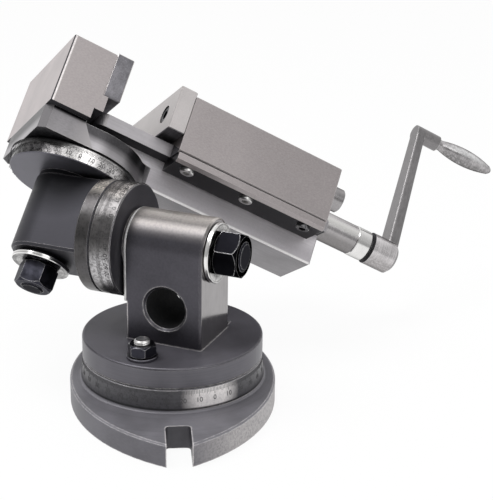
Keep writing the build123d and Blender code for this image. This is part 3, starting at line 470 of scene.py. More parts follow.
class Band:
    """A round band between two heights on a place's Z axis, on which marks are laid."""

    def __init__(self, place, low, low_radius, high, high_radius):
        self.place = place
        self.low = low
        self.low_radius = low_radius
        self.slope = (high_radius - low_radius) / (high - low)

    def point(self, angle, height, proud):
        radius = self.low_radius + self.slope * (height - self.low) + proud
        return self.place @ Vector((radius * math.cos(angle), radius * math.sin(angle), height))

    def add_line(self, shape, angle, start, end, width, proud):
        """An engraved line along the axis, as a thin bar sunk into the band."""
        half = width / 2 / self.low_radius
        corners = []
        for depth in (-5 * proud, proud):
            for height in (start, end):
                for side in (-half, half):
                    corners.append(shape.verts.new(self.point(angle + side, height, depth)))
        for face in (
            (0, 1, 3, 2), (4, 6, 7, 5), (0, 4, 5, 1), (2, 3, 7, 6), (0, 2, 6, 4), (1, 5, 7, 3),
        ):
            shape.faces.new([corners[corner] for corner in face])

    def add_number(self, shape, text, angle, height, size, proud, upward):
        """A stamped number laid round the band, its top toward the axis or against it."""
        mesh = number_shape(text, size, proud)
        first = len(shape.verts)
        shape.from_mesh(mesh)
        bpy.data.meshes.remove(mesh)
        shape.verts.ensure_lookup_table()
        for vertex in shape.verts[first:]:
            x, y, z = vertex.co
            turn = angle + upward * x / self.low_radius
            vertex.co = self.point(turn, height + upward * y, z)


def scale_mesh(name, band, edge, inward, zero, numbers_up, sizes, reach=180):
    """Lines from one edge of a band inward, with numbers behind them."""
    shape = bmesh.new()
    length = sizes.line_length
    number = sizes.number_height
    proud = sizes.mark_proud
    last = reach if reach < 180 else reach - 1
    for degree in range(-reach, last + 1, sizes.degrees_per_line):
        angle = zero + math.radians(degree)
        line = length
        if degree % 10 == 0:
            line *= TENTH_LINE
        elif degree % 5 == 0:
            line *= FIFTH_LINE
        band.add_line(shape, angle, edge, edge + inward * line, sizes.line_width, proud)
        if numbers_up and degree % sizes.degrees_per_number == 0:
            height = edge + inward * (NUMBER_LINE * length + NUMBER_DROP * number)
            shown = str(abs(degree) if abs(degree) <= 90 else 180 - abs(degree))
            band.add_number(shape, shown, angle, height, number, proud, numbers_up)
    bmesh.ops.recalc_face_normals(shape, faces=shape.faces)
    return mesh_from(shape, name)


def thread_mesh(name, places, radius, pitch, start, end):
    """Screw threads as a ridge wound along each place's Z axis, thin at both its ends."""
    shape = bmesh.new()
    per_turn = 24
    fade_steps = 8
    for place in places:
        steps = int((end - start - pitch) / pitch * per_turn)
        rings = []
        for step in range(steps + 1):
            angle = 2 * math.pi * step / per_turn
            height = start + pitch * step / per_turn
            fade = min(1.0, step / fade_steps, (steps - step) / fade_steps)
            crest = radius + 0.22 * pitch * fade
            root = radius - 0.02 * pitch
            ring = []
            for share, out in ((0.08, root), (0.42, crest), (0.58, crest), (0.92, root)):
                local = (out * math.cos(angle), out * math.sin(angle), height + share * pitch)
                ring.append(shape.verts.new(place @ Vector(local)))
            rings.append(ring)
        for ahead, behind in zip(rings[1:], rings):
            for k in range(3):
                shape.faces.new((behind[k], ahead[k], ahead[k + 1], behind[k + 1]))
        shape.faces.new(rings[0])
        shape.faces.new(rings[-1][::-1])
    bmesh.ops.recalc_face_normals(shape, faces=shape.faces)
    return mesh_from(shape, name)


# One operator for each piece or group of like pieces
class VISE_OT_base(bpy.types.Operator):
    """Finish the base casting and its centre pin"""

    bl_idname = "vise.base"
    bl_label = "Base"

    def execute(self, context):
        high = span_along("base_casting", base_place)[1]
        drum_low = 0.56 * high
        # The patch is painted light on the front right of the base
        casting = metal(
            "base_satin", base_place, "base_casting", 0.46, metallic=0.55, lathe=(900, 900),
            streak=0.08, cloud=0.14, edge=1.5, patch_low=0.5,
            patches=(((70, -72, 8), 78, (0.46, 0.44, 0.44)),), **WORN_CASTING,
        )
        # The thin near-black line at the foot of the drum band is painted shade at the step
        drum = metal(
            "drum_band", base_place, "base_casting", 0.36, share=0.5, metallic=0.15,
            lathe=(1400, 1400), streak=0.14, stain=0.5, edge=1.2, patch_low=0.8, patches=(
                ((24, -59, 25), 22, (1, 0.96, 0.95)),
                ((0, 0, drum_low / MM), 1.5, GAP_SHADE_TONE, (0, 0, 1)),
            ), **WORN_GUNMETAL,
        )
        foot = metal(
            "foot_satin", base_place, "base_casting", 0.5, share=1.2, metallic=0.35,
            lathe=(900, 900), streak=0.1, cloud=0.16, edge=2, **WORN_CASTING,
        )
        # Darker copy of the base metal in the lug slots: painted shade in the recesses
        slot = metal(
            "lug_slot_dark", base_place, "base_casting", 0.5, share=0.6, metallic=0.55, cloud=0.2,
            worn=1, bare=(0.8, 0.78, 0.78), edge=1,
        )
        finish(casting, "base_casting")
        finish_faces(
            "base_casting", base_place,
            (slot, lambda at, normal: abs(at.x) < 9 * MM and at.z < 17 * MM
             and 60 * MM < abs(at.y) < 106 * MM and abs(normal.z) < UPRIGHT
             and (abs(normal.x) > UPRIGHT or at.y * normal.y > 0)),
            (foot, lambda at, normal: normal.z > SLANTED),
            (drum, lambda at, normal: at.z > drum_low and abs(normal.z) < 0.4
             and across_axis(at) > 1.8 * high),
        )
        pin = metal("pin_steel", base_place, "bright_steel", 0.3, lathe=PLAIN_LATHE)
        finish(pin, "centre_pin")
        return {"FINISHED"}


class VISE_OT_bracket(bpy.types.Operator):
    """Finish the turntable, the block and the graduated tilt flange"""

    bl_idname = "vise.bracket"
    bl_label = "Swivel bracket"

    def execute(self, context):
        block_top = tilt_centre.z / MM + 24
        table_low = span_along("swivel_bracket", base_place)[0]
        # The two patches on the block's rounded top are painted highlights; its wide worn edges also
        # paint edge highlights
        casting = metal(
            "bracket_gunmetal", block_place, "bracket_casting", 0.36, metallic=0.9,
            cloud=0.16, cloud_scale=28, edge=2.2, patch_reach=(0, 1, 1), patch_low=0.7, patches=(
                ((0, -7, block_top), 19, (0.2, 0.187, 0.18)),
                ((0, 4, block_top), 14, (0.62, 0.58, 0.55)),
            ), **CAST_SKIN, **WORN_GUNMETAL,
        )
        # Slightly darker copy on the flange's side next to the block: painted shade in the gap
        side = metal(
            "flange_side_dark", block_place, "bracket_casting", 0.42, share=0.9, metallic=0.8,
            cloud=0.2, cloud_scale=40, edge=1.2, **CAST_SKIN, **WORN_GUNMETAL,
        )
        # Painted highlight: pale, almost unmetallic metal on the block's rounded left edge
        round_highlight = metal(
            "block_round_worn", block_place, "bright_steel", 0.45, share=1.1, metallic=0.1,
            lines=(750, 750, 750), streak=0.1, cloud=0.3, cloud_scale=60,
        )
        table_top = metal(
            "turntable_top", base_place, "bracket_casting", 0.48, share=1.5, metallic=0.5,
            lathe=(900, 900), streak=0.08, cloud=0.18, edge=2, **WORN_GUNMETAL,
        )
        ground = metal(
            "block_ground_face", block_place, "graduated_band", 0.13, lines=(300, 1500, 60),
            streak=0.07, worn=0.6, bare=(0.7, 0.68, 0.68),
        )
        # Painted highlight on the band's top and a painted reflection low at its front
        band = metal(
            "tilt_band", tilt_place, "graduated_band", 0.27, share=0.42, worn=0.8,
            bare=(0.75, 0.73, 0.72), patches=(
                ((38.5, 6, -31), 15, (1, 0.95, 0.91)),
                ((-11, 37, -34), 17, (0.5, 0.49, 0.5)),
            ), **SCALE_TURNING,
        )
        # The near-black line at the rim's lower edge is painted shade in the gap above the base
        table = metal(
            "turntable_rim", base_place, "base_casting", 0.38, share=0.92, lathe=SATIN_LATHE,
            streak=0.07, edge=2, patch_reach=(0, 0, 1), patch_low=0.7,
            patches=(((0, 0, table_low / MM), 1.7, GAP_SHADE_TONE),), **WORN_GUNMETAL,
        )
        # Painted shade: near-black metal inside the bore
        bore = metal("bore_dark", block_place, "bare_underside", 0.9, share=0.3, metallic=0)
        seat = span_along("tilt_washer", block_place, 0)[0]
        edge, flange = tilt_flange()
        finish(casting, "swivel_bracket")
        finish_faces(
            "swivel_bracket", block_place,
            (ground, lambda at, normal: normal.x > 0.97 and at.z > BLOCK_LOW
             and abs(at.x - seat) < 2 * MM),
            (side, lambda at, normal: normal.x > SQUARE and at.z > BLOCK_LOW
             and at.x < -20 * MM),
            (round_highlight, lambda at, normal: -0.97 < normal.x < -0.03 and at.z > 66 * MM
             and -27.2 * MM < at.x < -22.6 * MM),
            (bore, lambda at, normal: abs(normal.y) < 0.1
             and math.hypot(at.x - BORE_MIDDLE_X, at.z - BORE_MIDDLE_Z) < BORE_REACH),
        )
        finish_faces(
            "swivel_bracket", base_place,
            (table_top, lambda at, normal: normal.z > SQUARE and at.z < BLOCK_LOW),
            (table, lambda at, normal: abs(normal.z) < UPRIGHT and at.z < BLOCK_LOW
             and across_axis(at) > 60 * MM),
        )
        finish_faces(
            "swivel_bracket", tilt_place,
            (band, lambda at, normal: abs(normal.z) < UPRIGHT
             and edge < at.z < edge + 17 * MM
             and 0.96 * flange < across_axis(at) < 1.03 * flange),
        )
        return {"FINISHED"}


class VISE_OT_clamps(bpy.types.Operator):
    """Finish the turntable's clamp bolts, washers and nuts, and cut their threads"""

    bl_idname = "vise.clamps"
    bl_label = "Clamp bolts"

    def execute(self, context):
        pitch = context.scene.vise_sizes.bolt_pitch
        bright = metal("clamp_bolt_steel", block_place, "bright_steel", 0.3, cloud=0.3)
        oxide = metal(
            "clamp_nut_oxide", block_place, "black_oxide", 0.3, share=2, worn=1,
            bare=(0.7, 0.69, 0.7), edge=0.7,
        )
        washer = metal(
            "clamp_washer_steel", block_place, "bracket_casting", 0.34, share=1.6, worn=0.8,
            bare=(0.6, 0.6, 0.6),
        )
        finish(bright, "clamp_bolts")
        finish(oxide, "clamp_nuts")
        finish(washer, "clamp_washers")
        top = span_along("clamp_bolts", block_place)[1]
        nut_top = span_along("clamp_nuts", block_place)[1]
        places = []
        for side in (-1, 1):
            points = local_points("clamp_nuts", block_place)
            near = [point for point in points if point.y * side > 0]
            x = (min(point.x for point in near) + max(point.x for point in near)) / 2
            y = (min(point.y for point in near) + max(point.y for point in near)) / 2
            places.append(block_place @ Matrix.Translation((x, y, 0)))
        radius = ring_radius("clamp_bolts", places[0], nut_top + 0.4 * MM, top, 20 * MM)
        mesh = thread_mesh("clamp_bolt_threads", places, radius, pitch, nut_top - pitch, top)
        add_piece(mesh, bright, "turntable")
        return {"FINISHED"}


class VISE_OT_head(bpy.types.Operator):
    """Finish the angle head: its flange, barrel and swivel dial"""

    bl_idname = "vise.head"
    bl_label = "Angle head"

    def execute(self, context):
        # The near-black patch is painted shade on the barrel's top under the dial
        casting = metal(
            "head_gunmetal", head_place, "head_casting", 0.46, metallic=0.8, lathe=(500, 700),
            cloud=0.12, cloud_scale=30, worn=0.9, bare=(0.6, 0.58, 0.58), edge=1,
            patches=(((6, -19, 34), 38, (0.008, 0.008, 0.01)),), patch_low=1,
        )
        # Painted shade on the dial band's left front and painted highlights at its right front
        dial = metal(
            "dial_band", head_place, "graduated_band", 0.25, share=0.8, worn=0.9,
            bare=(0.8, 0.78, 0.77), patch_low=0.5, patches=(
                ((-17, -41, 37), 29, (0.03, 0.029, 0.031)),
                ((23, -38, 37), 17, (1, 0.98, 0.97)),
                ((38, -23, 37), 15, (0.75, 0.73, 0.73)),
            ), **SCALE_TURNING,
        )
        # Painted highlight at the band's top and painted shade on its upper and lower front
        band = metal(
            "head_flange_band", tilt_place, "graduated_band", 0.3, share=0.3,
            lathe=(900, 1300), streak=0.12, cloud=0.35, cloud_scale=60, stain=0.45, worn=0.8,
            bare=(0.75, 0.73, 0.72), patches=(
                ((38.5, 7, -48), 13, (1, 0.94, 0.86)),
                ((33, 21, -48), 11, (0.05, 0.047, 0.048)),
                ((-11, 37, -45), 9, (0.1, 0.096, 0.1)),
            ),
        )
        # Painted light: a lighter copy of the head metal on the dial's underside
        under = metal(
            "dial_underside", head_place, "head_casting", 0.42, share=2.7, metallic=0.8,
            lathe=(900, 700), streak=0.08, cloud=0.15,
        )
        rim = dial_radius(span_along("angle_head", head_place)[1])
        edge, flange = tilt_flange()
        finish(casting, "angle_head")
        finish_faces(
            "angle_head", head_place,
            (dial, lambda at, normal: abs(normal.z) < 0.8 and at.z > DIAL_LOW
             and across_axis(at) > 0.95 * rim),
            (under, lambda at, normal: normal.z < -SLANTED and at.z > DIAL_LOW
             and across_axis(at) > 0.6 * rim),
        )
        finish_faces(
            "angle_head", tilt_place,
            (band, lambda at, normal: abs(normal.z) < 0.6 and at.z > edge - 14 * MM
             and 0.95 * flange < across_axis(at) < 1.03 * flange),
        )
        return {"FINISHED"}


class VISE_OT_studs(bpy.types.Operator):
    """Finish the tilt and swivel studs with their washers and nuts"""

    bl_idname = "vise.studs"
    bl_label = "Studs and nuts"

    def execute(self, context):
        tilt_nut = metal(
            "nut_oxide", tilt_place, "black_oxide", 0.36, share=0.25, cloud=0.5, worn=0.8,
            bare=(0.85, 0.84, 0.85), edge=0.7, edge_tint=0.2,
        )
        swivel_nut = metal(
            "swivel_nut_oxide", head_place, "black_oxide", 0.36, share=2.6, cloud=0.6,
            cloud_scale=120, worn=1, bare=(0.75, 0.74, 0.75), edge=0.8, edge_tint=0.6,
        )
        seat = metal("seat_ring_steel", head_place, "head_casting", 0.4, lathe=PLAIN_LATHE)
        finish(tilt_nut, "tilt_nut")
        finish(swivel_nut, "swivel_nut")
        finish(seat, "seat_ring")
        for stud, prefix, place, share in (
            ("tilt", "", tilt_place, 0.42), ("swivel", "swivel_", head_place, 0.35),
        ):
            washer = metal(
                prefix + "washer_turned", place, "bright_steel", 0.2, lathe=(650, 650), streak=0.45,
                **WORN_BRIGHT,
            )
            # Darker copy of the washer steel on its flat faces: painted shade beside the nuts
            face = metal(
                prefix + "washer_face", place, "bright_steel", 0.22, share=share,
                lathe=(650, 650), streak=0.5, cloud=0.7, cloud_scale=130, edge=1, **WORN_BRIGHT,
            )
            end = metal(
                stud + "_stud_end", place, "black_oxide", 0.4, lathe=(1300, 900), streak=0.6,
                worn=1, bare=(0.85, 0.85, 0.85), edge=1, edge_tint=0.5,
            )
            finish(washer, stud + "_washer")
            finish_faces(
                stud + "_washer", place,
                (face, lambda at, normal: abs(normal.z) > SQUARE),
            )
            finish(end, stud + "_stud")
        return {"FINISHED"}


class VISE_OT_body(bpy.types.Operator):
    """Finish the vise body with its round plate, pad and rails"""

    bl_idname = "vise.body"
    bl_label = "Vise body"

    def execute(self, context):
        points = local_points("vise_body", vise_place)
        jaw_middle = sum(span_along("fixed_jaw", vise_place, 0)) / 2
        pad_top = max(point.z for point in points if point.x < jaw_middle) / MM
        bed_low = min(point.z for point in points if point.x > 60 * MM) / MM
        disc_low = span_along("vise_body", head_place)[0]
        disc_radius = dial_radius(span_along("angle_head", head_place)[1])
        bed = metal(
            "bed_ground", vise_place, "bed_steel", 0.42, worn=0.6, bare=(0.72, 0.7, 0.7),
            **BED_GRINDING,
        )
        back = metal(
            "pad_back_ground", vise_place, "ground_steel", 0.4, lines=BACK_LINES, streak=0.05,
        )
        # Painted light on the web: a lighter copy of the bed steel, darker toward its bottom, with a
        # painted highlight line along the bottom edge
        web = metal(
            "web_ground", vise_place, "bed_steel", 0.5, share=2, metallic=0.6, worn=1,
            bare=(0.85, 0.83, 0.83), edge=0.8, patch_reach=(0, 0, 1), patch_low=0.85, patches=(
                ((0, 0, bed_low), 17, (0.52, 0.495, 0.52)),
                ((0, 0, bed_low + 0.5), 1.7, (1, 0.98, 0.98)),
            ), **BED_GRINDING,
        )
        # Darker copy of the bed steel on its bottom faces, with a large painted shade patch near the
        # round plate
        bottom = metal(
            "bed_bottom", vise_place, "bed_steel", 0.42, share=0.62, lines=(60, 900, 900),
            streak=0.1, cloud=0.2, cloud_scale=40, worn=1, bare=(0.8, 0.78, 0.78), patch_low=0.8,
            patches=(((-20, 0, 46), 85, (0.02, 0.02, 0.024)),),
        )
        # Painted shade: near-black metal on the undersides of the rails and pad
        under = metal("underside_dark", vise_place, "bare_underside", 0.6, **SHADED)
        # The dark band on the upper part of the disc rim is painted shade under the pad
        disc = metal(
            "disc_rim_turned", head_place, "bed_steel", 0.36, lathe=(300, 900), streak=0.08,
            cloud=0.12, worn=1, bare=(0.72, 0.7, 0.7), patch_reach=(0, 0, 1),
            patches=(((0, 0, disc_low / MM + 15), 11, (0.07, 0.068, 0.072)),), patch_low=0.95,
        )
        # Rougher, darker copy of the bed steel on the pad's corner chamfer; the darkness is painted
        # shade
        corner = metal(
            "pad_corner_matt", vise_place, "bed_steel", 0.62, share=0.4, metallic=0.7,
            lines=BACK_LINES, streak=0.08,
        )
        # Painted light toward the right of the pad's side, and a painted shade line under the jaw
        # along its top
        pad = metal(
            "pad_side_ground", vise_place, "bed_steel", 0.42, share=0.62, cloud=0.2,
            worn=0.8, patch_reach=(1, 0, 0), patch_low=1, patches=(
                ((6, 0, 0), 30, (0.35, 0.335, 0.34)),
                ((0.05 * jaw_middle / MM, 0, pad_top), 3.2, (0.008, 0.008, 0.01), (0.05, 0, 1)),
            ), **JAW_GRINDING,
        )
        finish(bed, "vise_body")
        finish_faces(
            "vise_body", vise_place,
            (back, lambda at, normal: normal.x < -0.98),
            (web, lambda at, normal: abs(normal.y) > SQUARE and at.x > PAD_END
             and at.z < RAIL_LOW),
            (pad, lambda at, normal: abs(normal.y) > SQUARE and at.x <= PAD_END),
            (under, lambda at, normal: normal.z < -0.6 and at.z > BED_BOTTOM),
            (bottom, lambda at, normal: normal.z < -SQUARE and at.z <= BED_BOTTOM),
            (corner, lambda at, normal: at_corner(at, normal)
             and abs(normal.z) < SLANTED and at.x < -35 * MM),
        )
        finish_faces(
            "vise_body", head_place,
            (disc, lambda at, normal: at.z < disc_low + 14 * MM and abs(normal.z) < 0.8
             and 0.97 * disc_radius < across_axis(at) < 1.06 * disc_radius),
        )
        return {"FINISHED"}


class VISE_OT_jaws(bpy.types.Operator):
    """Finish the fixed and the movable jaw"""

    bl_idname = "vise.jaws"
    bl_label = "Jaws"

    def execute(self, context):
        plate_low = span_along("movable_plate", vise_place)[0]
        jaw_left = span_along("fixed_jaw", vise_place, 0)[0] / MM
        ground = metal(
            "jaw_ground", vise_place, "ground_steel", 0.42, cloud=0.05, cloud_scale=20, worn=0.8,
            **JAW_GRINDING,
        )
        # Painted highlight: a thin bright line along the fixed jaw's left edge on its sides
        highlighted_side = metal(
            "jaw_side_ground", vise_place, "ground_steel", 0.42, cloud=0.05, cloud_scale=20,
            worn=0.3, patch_reach=(1, 0, 0), patch_low=0.6,
            patches=(((jaw_left + 1.4, 0, 0), 0.9, (0.85, 0.81, 0.8)),), **JAW_GRINDING,
        )
        # Painted light: a lighter copy of the jaw steel on the back faces
        back = metal(
            "jaw_back_ground", vise_place, "ground_steel", 0.42, share=1.4, lines=BACK_LINES,
            streak=0.045,
        )
        # Painted shade: near-black metal on the jaws' undersides, corner chamfers and the faces
        # below the plates
        shade = metal("jaw_foot_dark", vise_place, "bare_underside", 0.6, **SHADED)
        finish(ground, "fixed_jaw", "movable_jaw", "gib_strip")
        finish_faces(
            "fixed_jaw", vise_place,
            (highlighted_side, lambda at, normal: abs(normal.y) > 0.95),
            (back, lambda at, normal: normal.x < -SQUARE),
            (shade, lambda at, normal: normal.z < -0.6 or at_corner(at, normal)
             or (normal.x > SQUARE and at.z < plate_low)),
        )
        finish_faces(
            "movable_jaw", vise_place,
            (shade, lambda at, normal: normal.z < -SQUARE
             or (normal.x < -SQUARE and at.z < plate_low)),
        )
        for node in ("near_keeper", "far_keeper"):
            finish_faces(node, vise_place, (ground, lambda at, normal: abs(normal.y) > 0.6))
        return {"FINISHED"}


class VISE_OT_plates(bpy.types.Operator):
    """Finish the jaw plates"""

    bl_idname = "vise.plates"
    bl_label = "Jaw plates"

    def execute(self, context):
        ground = metal(
            "plate_ground", vise_place, "plate_steel", 0.4, lines=PLATE_LINES, cloud=0.08,
        )
        # Darker metal on the plates' ends and undersides; on the undersides it is painted shade
        ends = metal(
            "plate_end_dark", vise_place, "plate_end", 0.45, lines=(900, 60, 900), streak=0.2,
            cloud=0.35, cloud_scale=90, worn=0.8, bare=(0.1, 0.1, 0.105), edge=0.9,
        )
        matt = metal(
            "plate_edge_matt", vise_place, "plate_steel", 0.7, share=0.8, metallic=0.6,
            lines=PLATE_LINES,
        )
        finish(ground, "fixed_plate", "movable_plate")
        finish_faces(
            "fixed_plate", vise_place,
            (ends, lambda at, normal: normal.z < -UPRIGHT or abs(normal.y) > SQUARE),
        )
        finish_faces(
            "movable_plate", vise_place,
            (ends, lambda at, normal: normal.z < -UPRIGHT), (matt, at_corner),
        )
        return {"FINISHED"}


class VISE_OT_keepers(bpy.types.Operator):
    """Finish the keeper strips and all screws"""

    bl_idname = "vise.keepers"
    bl_label = "Keepers and screws"

    def execute(self, context):
        last_screw = span_along("near_keeper_screws", vise_place, 0)[1] / MM - 4
        strip = metal(
            "keeper_oxide", vise_place, "black_oxide", 0.36, share=0.6, lines=(200, 900, 900),
            streak=0.2, cloud=0.25, worn=1, bare=(0.42, 0.41, 0.42), edge=0.6,
        )
        oxide = metal(
            "screw_oxide", vise_place, "black_oxide", 0.34, cloud=0.2, worn=0.9,
            bare=(0.4, 0.4, 0.4), edge=0.4,
        )
        bright = metal(
            "screw_head_bright", vise_place, "bright_steel", 0.3, share=0.7, cloud=0.3, worn=0.5,
            bare=(0.9, 0.9, 0.9), edge=0.4, patch_reach=(1, 0, 0), patch_low=0.6,
            patches=(((last_screw, 0, 0), 9, (0.06, 0.06, 0.066)),),
        )
        cap = metal(
            "rear_cap_satin", vise_place, "satin_plate", 0.24, share=0.8, cloud=0.3, worn=0.8,
            bare=(0.9, 0.9, 0.9), edge_tint=0.3,
        )
        finish(strip, "near_keeper", "far_keeper")
        finish(bright, "near_keeper_screws", "far_keeper_screws")
        finish(cap, "rear_screws")
        finish(
            oxide, "fixed_plate_screws", "movable_plate_screws", "jaw_screws", "gib_screws",
            "lead_nut_screws", "set_screw",
        )
        return {"FINISHED"}


class VISE_OT_drive(bpy.types.Operator):
    """Finish the lead screw, its nut, sleeve and thrust ring, and cut the screw's thread"""

    bl_idname = "vise.drive"
    bl_label = "Screw drive"

    def execute(self, context):
        pitch = context.scene.vise_sizes.screw_pitch
        polished = metal(
            "screw_polished", screw_place, "bright_steel", 0.18, lathe=(1500, 1500), edge_tint=0.4,
        )
        # Painted shade on the sleeve's lower side and a painted highlight streak along its upper
        # front
        sleeve = metal(
            "sleeve_satin", screw_place, "satin_plate", 0.24, share=1.35,
            lathe=SATIN_LATHE, streak=0.1, edge_tint=0.35, patch_reach=(1, 1, 0), patch_low=0.9,
            patches=(
                ((-14, 5, 0), 14, (0.24, 0.23, 0.23)),
                ((2, 13, 0), 5, (0.85, 0.84, 0.82)),
            ),
        )
        ring = metal("ring_steel", screw_place, "satin_plate", 0.36, lathe=PLAIN_LATHE)
        bronze = metal("nut_bronze", vise_place, "bronze", 0.32)
        finish(polished, "lead_screw")
        finish(sleeve, "sleeve")
        finish(ring, "thrust_ring", "ring_pin")
        finish(bronze, "lead_nut")
        start = span_along("lead_screw", screw_place)[0]
        end = span_along("thrust_ring", screw_place)[0] - 2 * pitch
        radius = ring_radius("lead_screw", screw_place, start, start + 3 * MM) - 0.2 * pitch
        mesh = thread_mesh("lead_screw_thread", [screw_place], radius, pitch, start, end)
        add_piece(mesh, polished, "crank")
        return {"FINISHED"}


class VISE_OT_crank(bpy.types.Operator):
    """Finish the crank arm, the spindle and the revolving handle"""

    bl_idname = "vise.crank"
    bl_label = "Crank and handle"

    def execute(self, context):
        # Its wide, bright worn edges also paint the highlight along the arm's edges
        satin = metal(
            "crank_satin", vise_place, "satin_plate", 0.44, share=0.6, lines=(900, 900, 300),
            streak=0.1, worn=0.7, bare=(0.95, 0.94, 0.93), edge=1,
        )
        # The darker patch is painted shade on the hub's lower side
        hub = metal(
            "hub_turned", screw_place, "satin_plate", 0.28, share=1.7, lathe=SATIN_LATHE,
            streak=0.12, cloud=0.25, cloud_scale=90, edge_tint=0.3, patch_reach=(1, 1, 0),
            patches=(((-15, 5, 0), 13, (0.36, 0.345, 0.345)),), patch_low=0.6,
        )
        # Painted shade: near-black metal on the hub's end face
        dark = metal(
            "hub_end_dark", screw_place, "bare_underside", 0.6, metallic=0.4, lathe=PLAIN_LATHE,
        )
        # Painted shade on the grip's lower side and a painted highlight streak on its front
        grip = metal(
            "grip_turned", grip_place, "satin_plate", 0.3, share=1.15,
            lathe=SATIN_LATHE, streak=0.14, cloud=0.4, cloud_scale=260, edge_tint=0.2,
            patch_reach=(1, 1, 0), patch_low=0.4, patches=(
                ((-9, 2, 0), 9, (0.2, 0.195, 0.195)),
                ((1, 9, 0), 5, (1, 1, 1)),
            ),
        )
        spindle = metal("spindle_steel", grip_place, "bright_steel", 0.25, lathe=PLAIN_LATHE)
        hub_start = span_along("crank_arm", screw_place)[0]
        finish(satin, "crank_arm")
        finish_faces(
            "crank_arm", screw_place,
            (hub, lambda at, normal: abs(normal.z) < UPRIGHT and across_axis(at) < 14 * MM),
            (dark, lambda at, normal: normal.z < -UPRIGHT and at.z < hub_start + 2 * MM
             and across_axis(at) < 15 * MM),
        )
        finish(grip, "handle_grip")
        finish(spindle, "handle_spindle")
        return {"FINISHED"}


class VISE_OT_scales(bpy.types.Operator):
    """Engrave the scales of the drum, the tilt flanges and the swivel dial"""

    bl_idname = "vise.scales"
    bl_label = "Scales"

    def execute(self, context):
        sizes = context.scene.vise_sizes
        fill = metal("mark_fill", base_place, "mark_fill", 0.5, metallic=0.3)
        worn_fill = metal("mark_fill_worn", base_place, "mark_fill", 0.5, share=2.2, metallic=0.3)

        top = span_along("base_casting", base_place)[1]
        top_radius = ring_radius("base_casting", base_place, top - 1.2 * MM, top)
        low = 0.53 * top
        low_radius = ring_radius("base_casting", base_place, low, 0.6 * top, 1.06 * top_radius)
        drum = Band(base_place, low, low_radius, top, top_radius)
        zero = math.radians(-66)
        mesh = scale_mesh("drum_scale", drum, top - 0.8 * MM, -1, zero, 1, sizes)
        add_piece(mesh, worn_fill, "base")

        edge, radius = tilt_flange()
        near = edge + 0.3 * MM
        zero = math.radians(40)
        band = Band(tilt_place, near, radius, near + 16 * MM, radius)
        mesh = scale_mesh("tilt_scale", band, near + 0.9 * MM, 1, zero, -1, sizes)
        add_piece(mesh, fill, "turntable")
        band = Band(tilt_place, edge - 10 * MM, radius, edge, radius)
        mesh = scale_mesh("tilt_index", band, edge - 0.9 * MM, -1, zero, 0, sizes, reach=10)
        add_piece(mesh, fill, "head")

        top = span_along("vise_body", head_place)[0] - 0.3 * MM
        radius = dial_radius(top)
        dial = Band(head_place, top - 11 * MM, radius, top, radius)
        zero = math.radians(-60)
        mesh = scale_mesh("dial_scale", dial, top - 1.6 * MM, -1, zero, 1, sizes)
        add_piece(mesh, fill, "head")
        return {"FINISHED"}


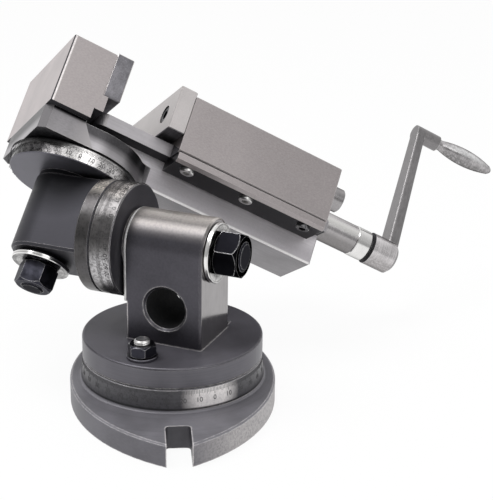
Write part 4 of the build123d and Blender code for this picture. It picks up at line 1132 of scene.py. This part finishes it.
class VISE_OT_stage(bpy.types.Operator):
    """Set up the pale floor, the soft light and the camera"""

    bl_idname = "vise.stage"
    bl_label = "Studio"

    def execute(self, context):
        look = context.scene.vise_stage
        self.lay_floor(look)
        self.light_sky(context, look)
        self.hang_lamp("overhead_box", look.key_power, (0.6, 0.9), (-0.45, 0.05, 1.35))
        self.hang_lamp("side_box", look.side_power, (0.9, 0.9), (0.6, -0.82, 1.05))
        self.set_camera(context, look)
        context.scene.view_settings.view_transform = "Standard"
        return {"FINISHED"}

    def lay_floor(self, look):
        """A round floor that is seen as nearly plain white, but lit and shaded like paper."""
        shape = bmesh.new()
        bmesh.ops.create_circle(shape, cap_ends=True, segments=96, radius=look.floor_radius)
        mesh = mesh_from(shape, "studio_floor")
        floor = put_in_scene(mesh.name, mesh)
        wiring = Wiring(bpy.data.materials.new("floor_paper"))
        wiring.put(wiring.shader.inputs["Base Color"], colour_of(look.floor_tone))
        wiring.put(wiring.shader.inputs["Roughness"], 0.9)
        wiring.put(wiring.shader.inputs["Specular IOR Level"], 0.1)
        rays = wiring.tree.nodes.new("ShaderNodeLightPath").outputs
        seen = wiring.maths("MAXIMUM", rays["Is Camera Ray"], rays["Is Glossy Ray"])
        seen = wiring.maths("MAXIMUM", seen, rays["Is Transmission Ray"])
        glow = wiring.add("ShaderNodeEmission", {"Color": WHITE, "Strength": 1})
        share = wiring.times(seen, look.floor_whiteness)
        paper = wiring.shader.outputs[0]
        both = wiring.add("ShaderNodeMixShader", {0: share, 1: paper, 2: glow})
        wiring.put(wiring.tree.nodes["Material Output"].inputs["Surface"], both)
        mesh.materials.append(wiring.owner)

    def light_sky(self, context, look):
        """Soft light all round, brighter behind the object, as in front of a paper sweep."""
        wiring = Wiring(bpy.data.worlds.new("studio_light"))
        where = wiring.add("ShaderNodeTexCoord", {}, output="Generated")
        depth = wiring.add("ShaderNodeSeparateXYZ", {0: where}, output="Y")
        level = wiring.ranged(depth, -0.9, 0.9, 0.45, 1.45)
        background = wiring.tree.nodes["Background"].inputs
        wiring.put(background["Color"], WHITE)
        wiring.put(background["Strength"], wiring.times(level, look.sky_level))
        context.scene.world = wiring.owner

    def hang_lamp(self, name, power, size, place):
        """A soft box that points at the middle of the object."""
        lamp = bpy.data.lights.new(name, "AREA")
        lamp.shape = "RECTANGLE"
        lamp.energy = power
        lamp.size, lamp.size_y = size
        holder = put_in_scene(name, lamp)
        holder.location = place
        aim = Vector((0.0, 0.0, 0.1)) - Vector(place)
        holder.rotation_euler = aim.to_track_quat("-Z", "Y").to_euler()

    def set_camera(self, context, look):
        """A camera round its target, then panned, tilted and leaned by small angles."""
        azimuth = look.camera_azimuth
        elevation = look.camera_elevation
        back = Vector((
            math.sin(azimuth) * math.cos(elevation),
            -math.cos(azimuth) * math.cos(elevation),
            math.sin(elevation),
        ))
        right = (-back).cross(ground_up).normalized()
        above = right.cross(-back)
        ahead = (-back + right * look.camera_pan + above * look.camera_tilt).normalized()
        right = ahead.cross(ground_up).normalized()
        above = right.cross(ahead)
        lean_cos = math.cos(look.camera_roll)
        lean_sin = math.sin(look.camera_roll)
        leaning_right = right * lean_cos + above * lean_sin
        leaning_up = above * lean_cos - right * lean_sin
        lens = bpy.data.cameras.new("photo_camera")
        lens.lens = look.camera_lens
        lens.clip_start = 0.05
        lens.clip_end = 60.0
        camera = put_in_scene(lens.name, lens)
        turn = Matrix((leaning_right, leaning_up, -ahead)).transposed().to_4x4()
        target = Vector((0.0, 0.0, 0.11))
        camera.matrix_world = Matrix.Translation(target + back * look.camera_distance) @ turn
        context.scene.camera = camera


operators = (
    VISE_OT_base, VISE_OT_bracket, VISE_OT_clamps, VISE_OT_head, VISE_OT_studs, VISE_OT_body,
    VISE_OT_keepers, VISE_OT_jaws, VISE_OT_plates, VISE_OT_drive, VISE_OT_crank, VISE_OT_scales,
    VISE_OT_stage,
)


class VISE_PT_panel(bpy.types.Panel):
    """Lists the vise's settings and steps"""

    bl_idname = "VISE_PT_panel"
    bl_label = "Milling vise"
    bl_space_type = "VIEW_3D"
    bl_region_type = "UI"
    bl_category = "Vise"

    def draw(self, context):
        for group in (context.scene.vise_tones, context.scene.vise_sizes, context.scene.vise_stage):
            box = self.layout.box()
            for name in group.__annotations__:
                box.prop(group, name)
        for operator in operators:
            self.layout.operator(operator.bl_idname)


classes = (ViseMetalTones, ViseScaleSizes, ViseStageLook) + operators + (VISE_PT_panel,)


def register():
    for entry in classes:
        bpy.utils.register_class(entry)
    bpy.types.Scene.vise_tones = PointerProperty(type=ViseMetalTones)
    bpy.types.Scene.vise_sizes = PointerProperty(type=ViseScaleSizes)
    bpy.types.Scene.vise_stage = PointerProperty(type=ViseStageLook)


def unregister():
    del bpy.types.Scene.vise_tones
    del bpy.types.Scene.vise_sizes
    del bpy.types.Scene.vise_stage
    for entry in reversed(classes):
        bpy.utils.unregister_class(entry)


def main():
    register()
    bpy.ops.vise.base()
    bpy.ops.vise.bracket()
    bpy.ops.vise.clamps()
    bpy.ops.vise.head()
    bpy.ops.vise.studs()
    bpy.ops.vise.body()
    bpy.ops.vise.keepers()
    bpy.ops.vise.jaws()
    bpy.ops.vise.plates()
    bpy.ops.vise.drive()
    bpy.ops.vise.crank()
    bpy.ops.vise.scales()
    bpy.ops.vise.stage()


if __name__ == "__main__":
    main()
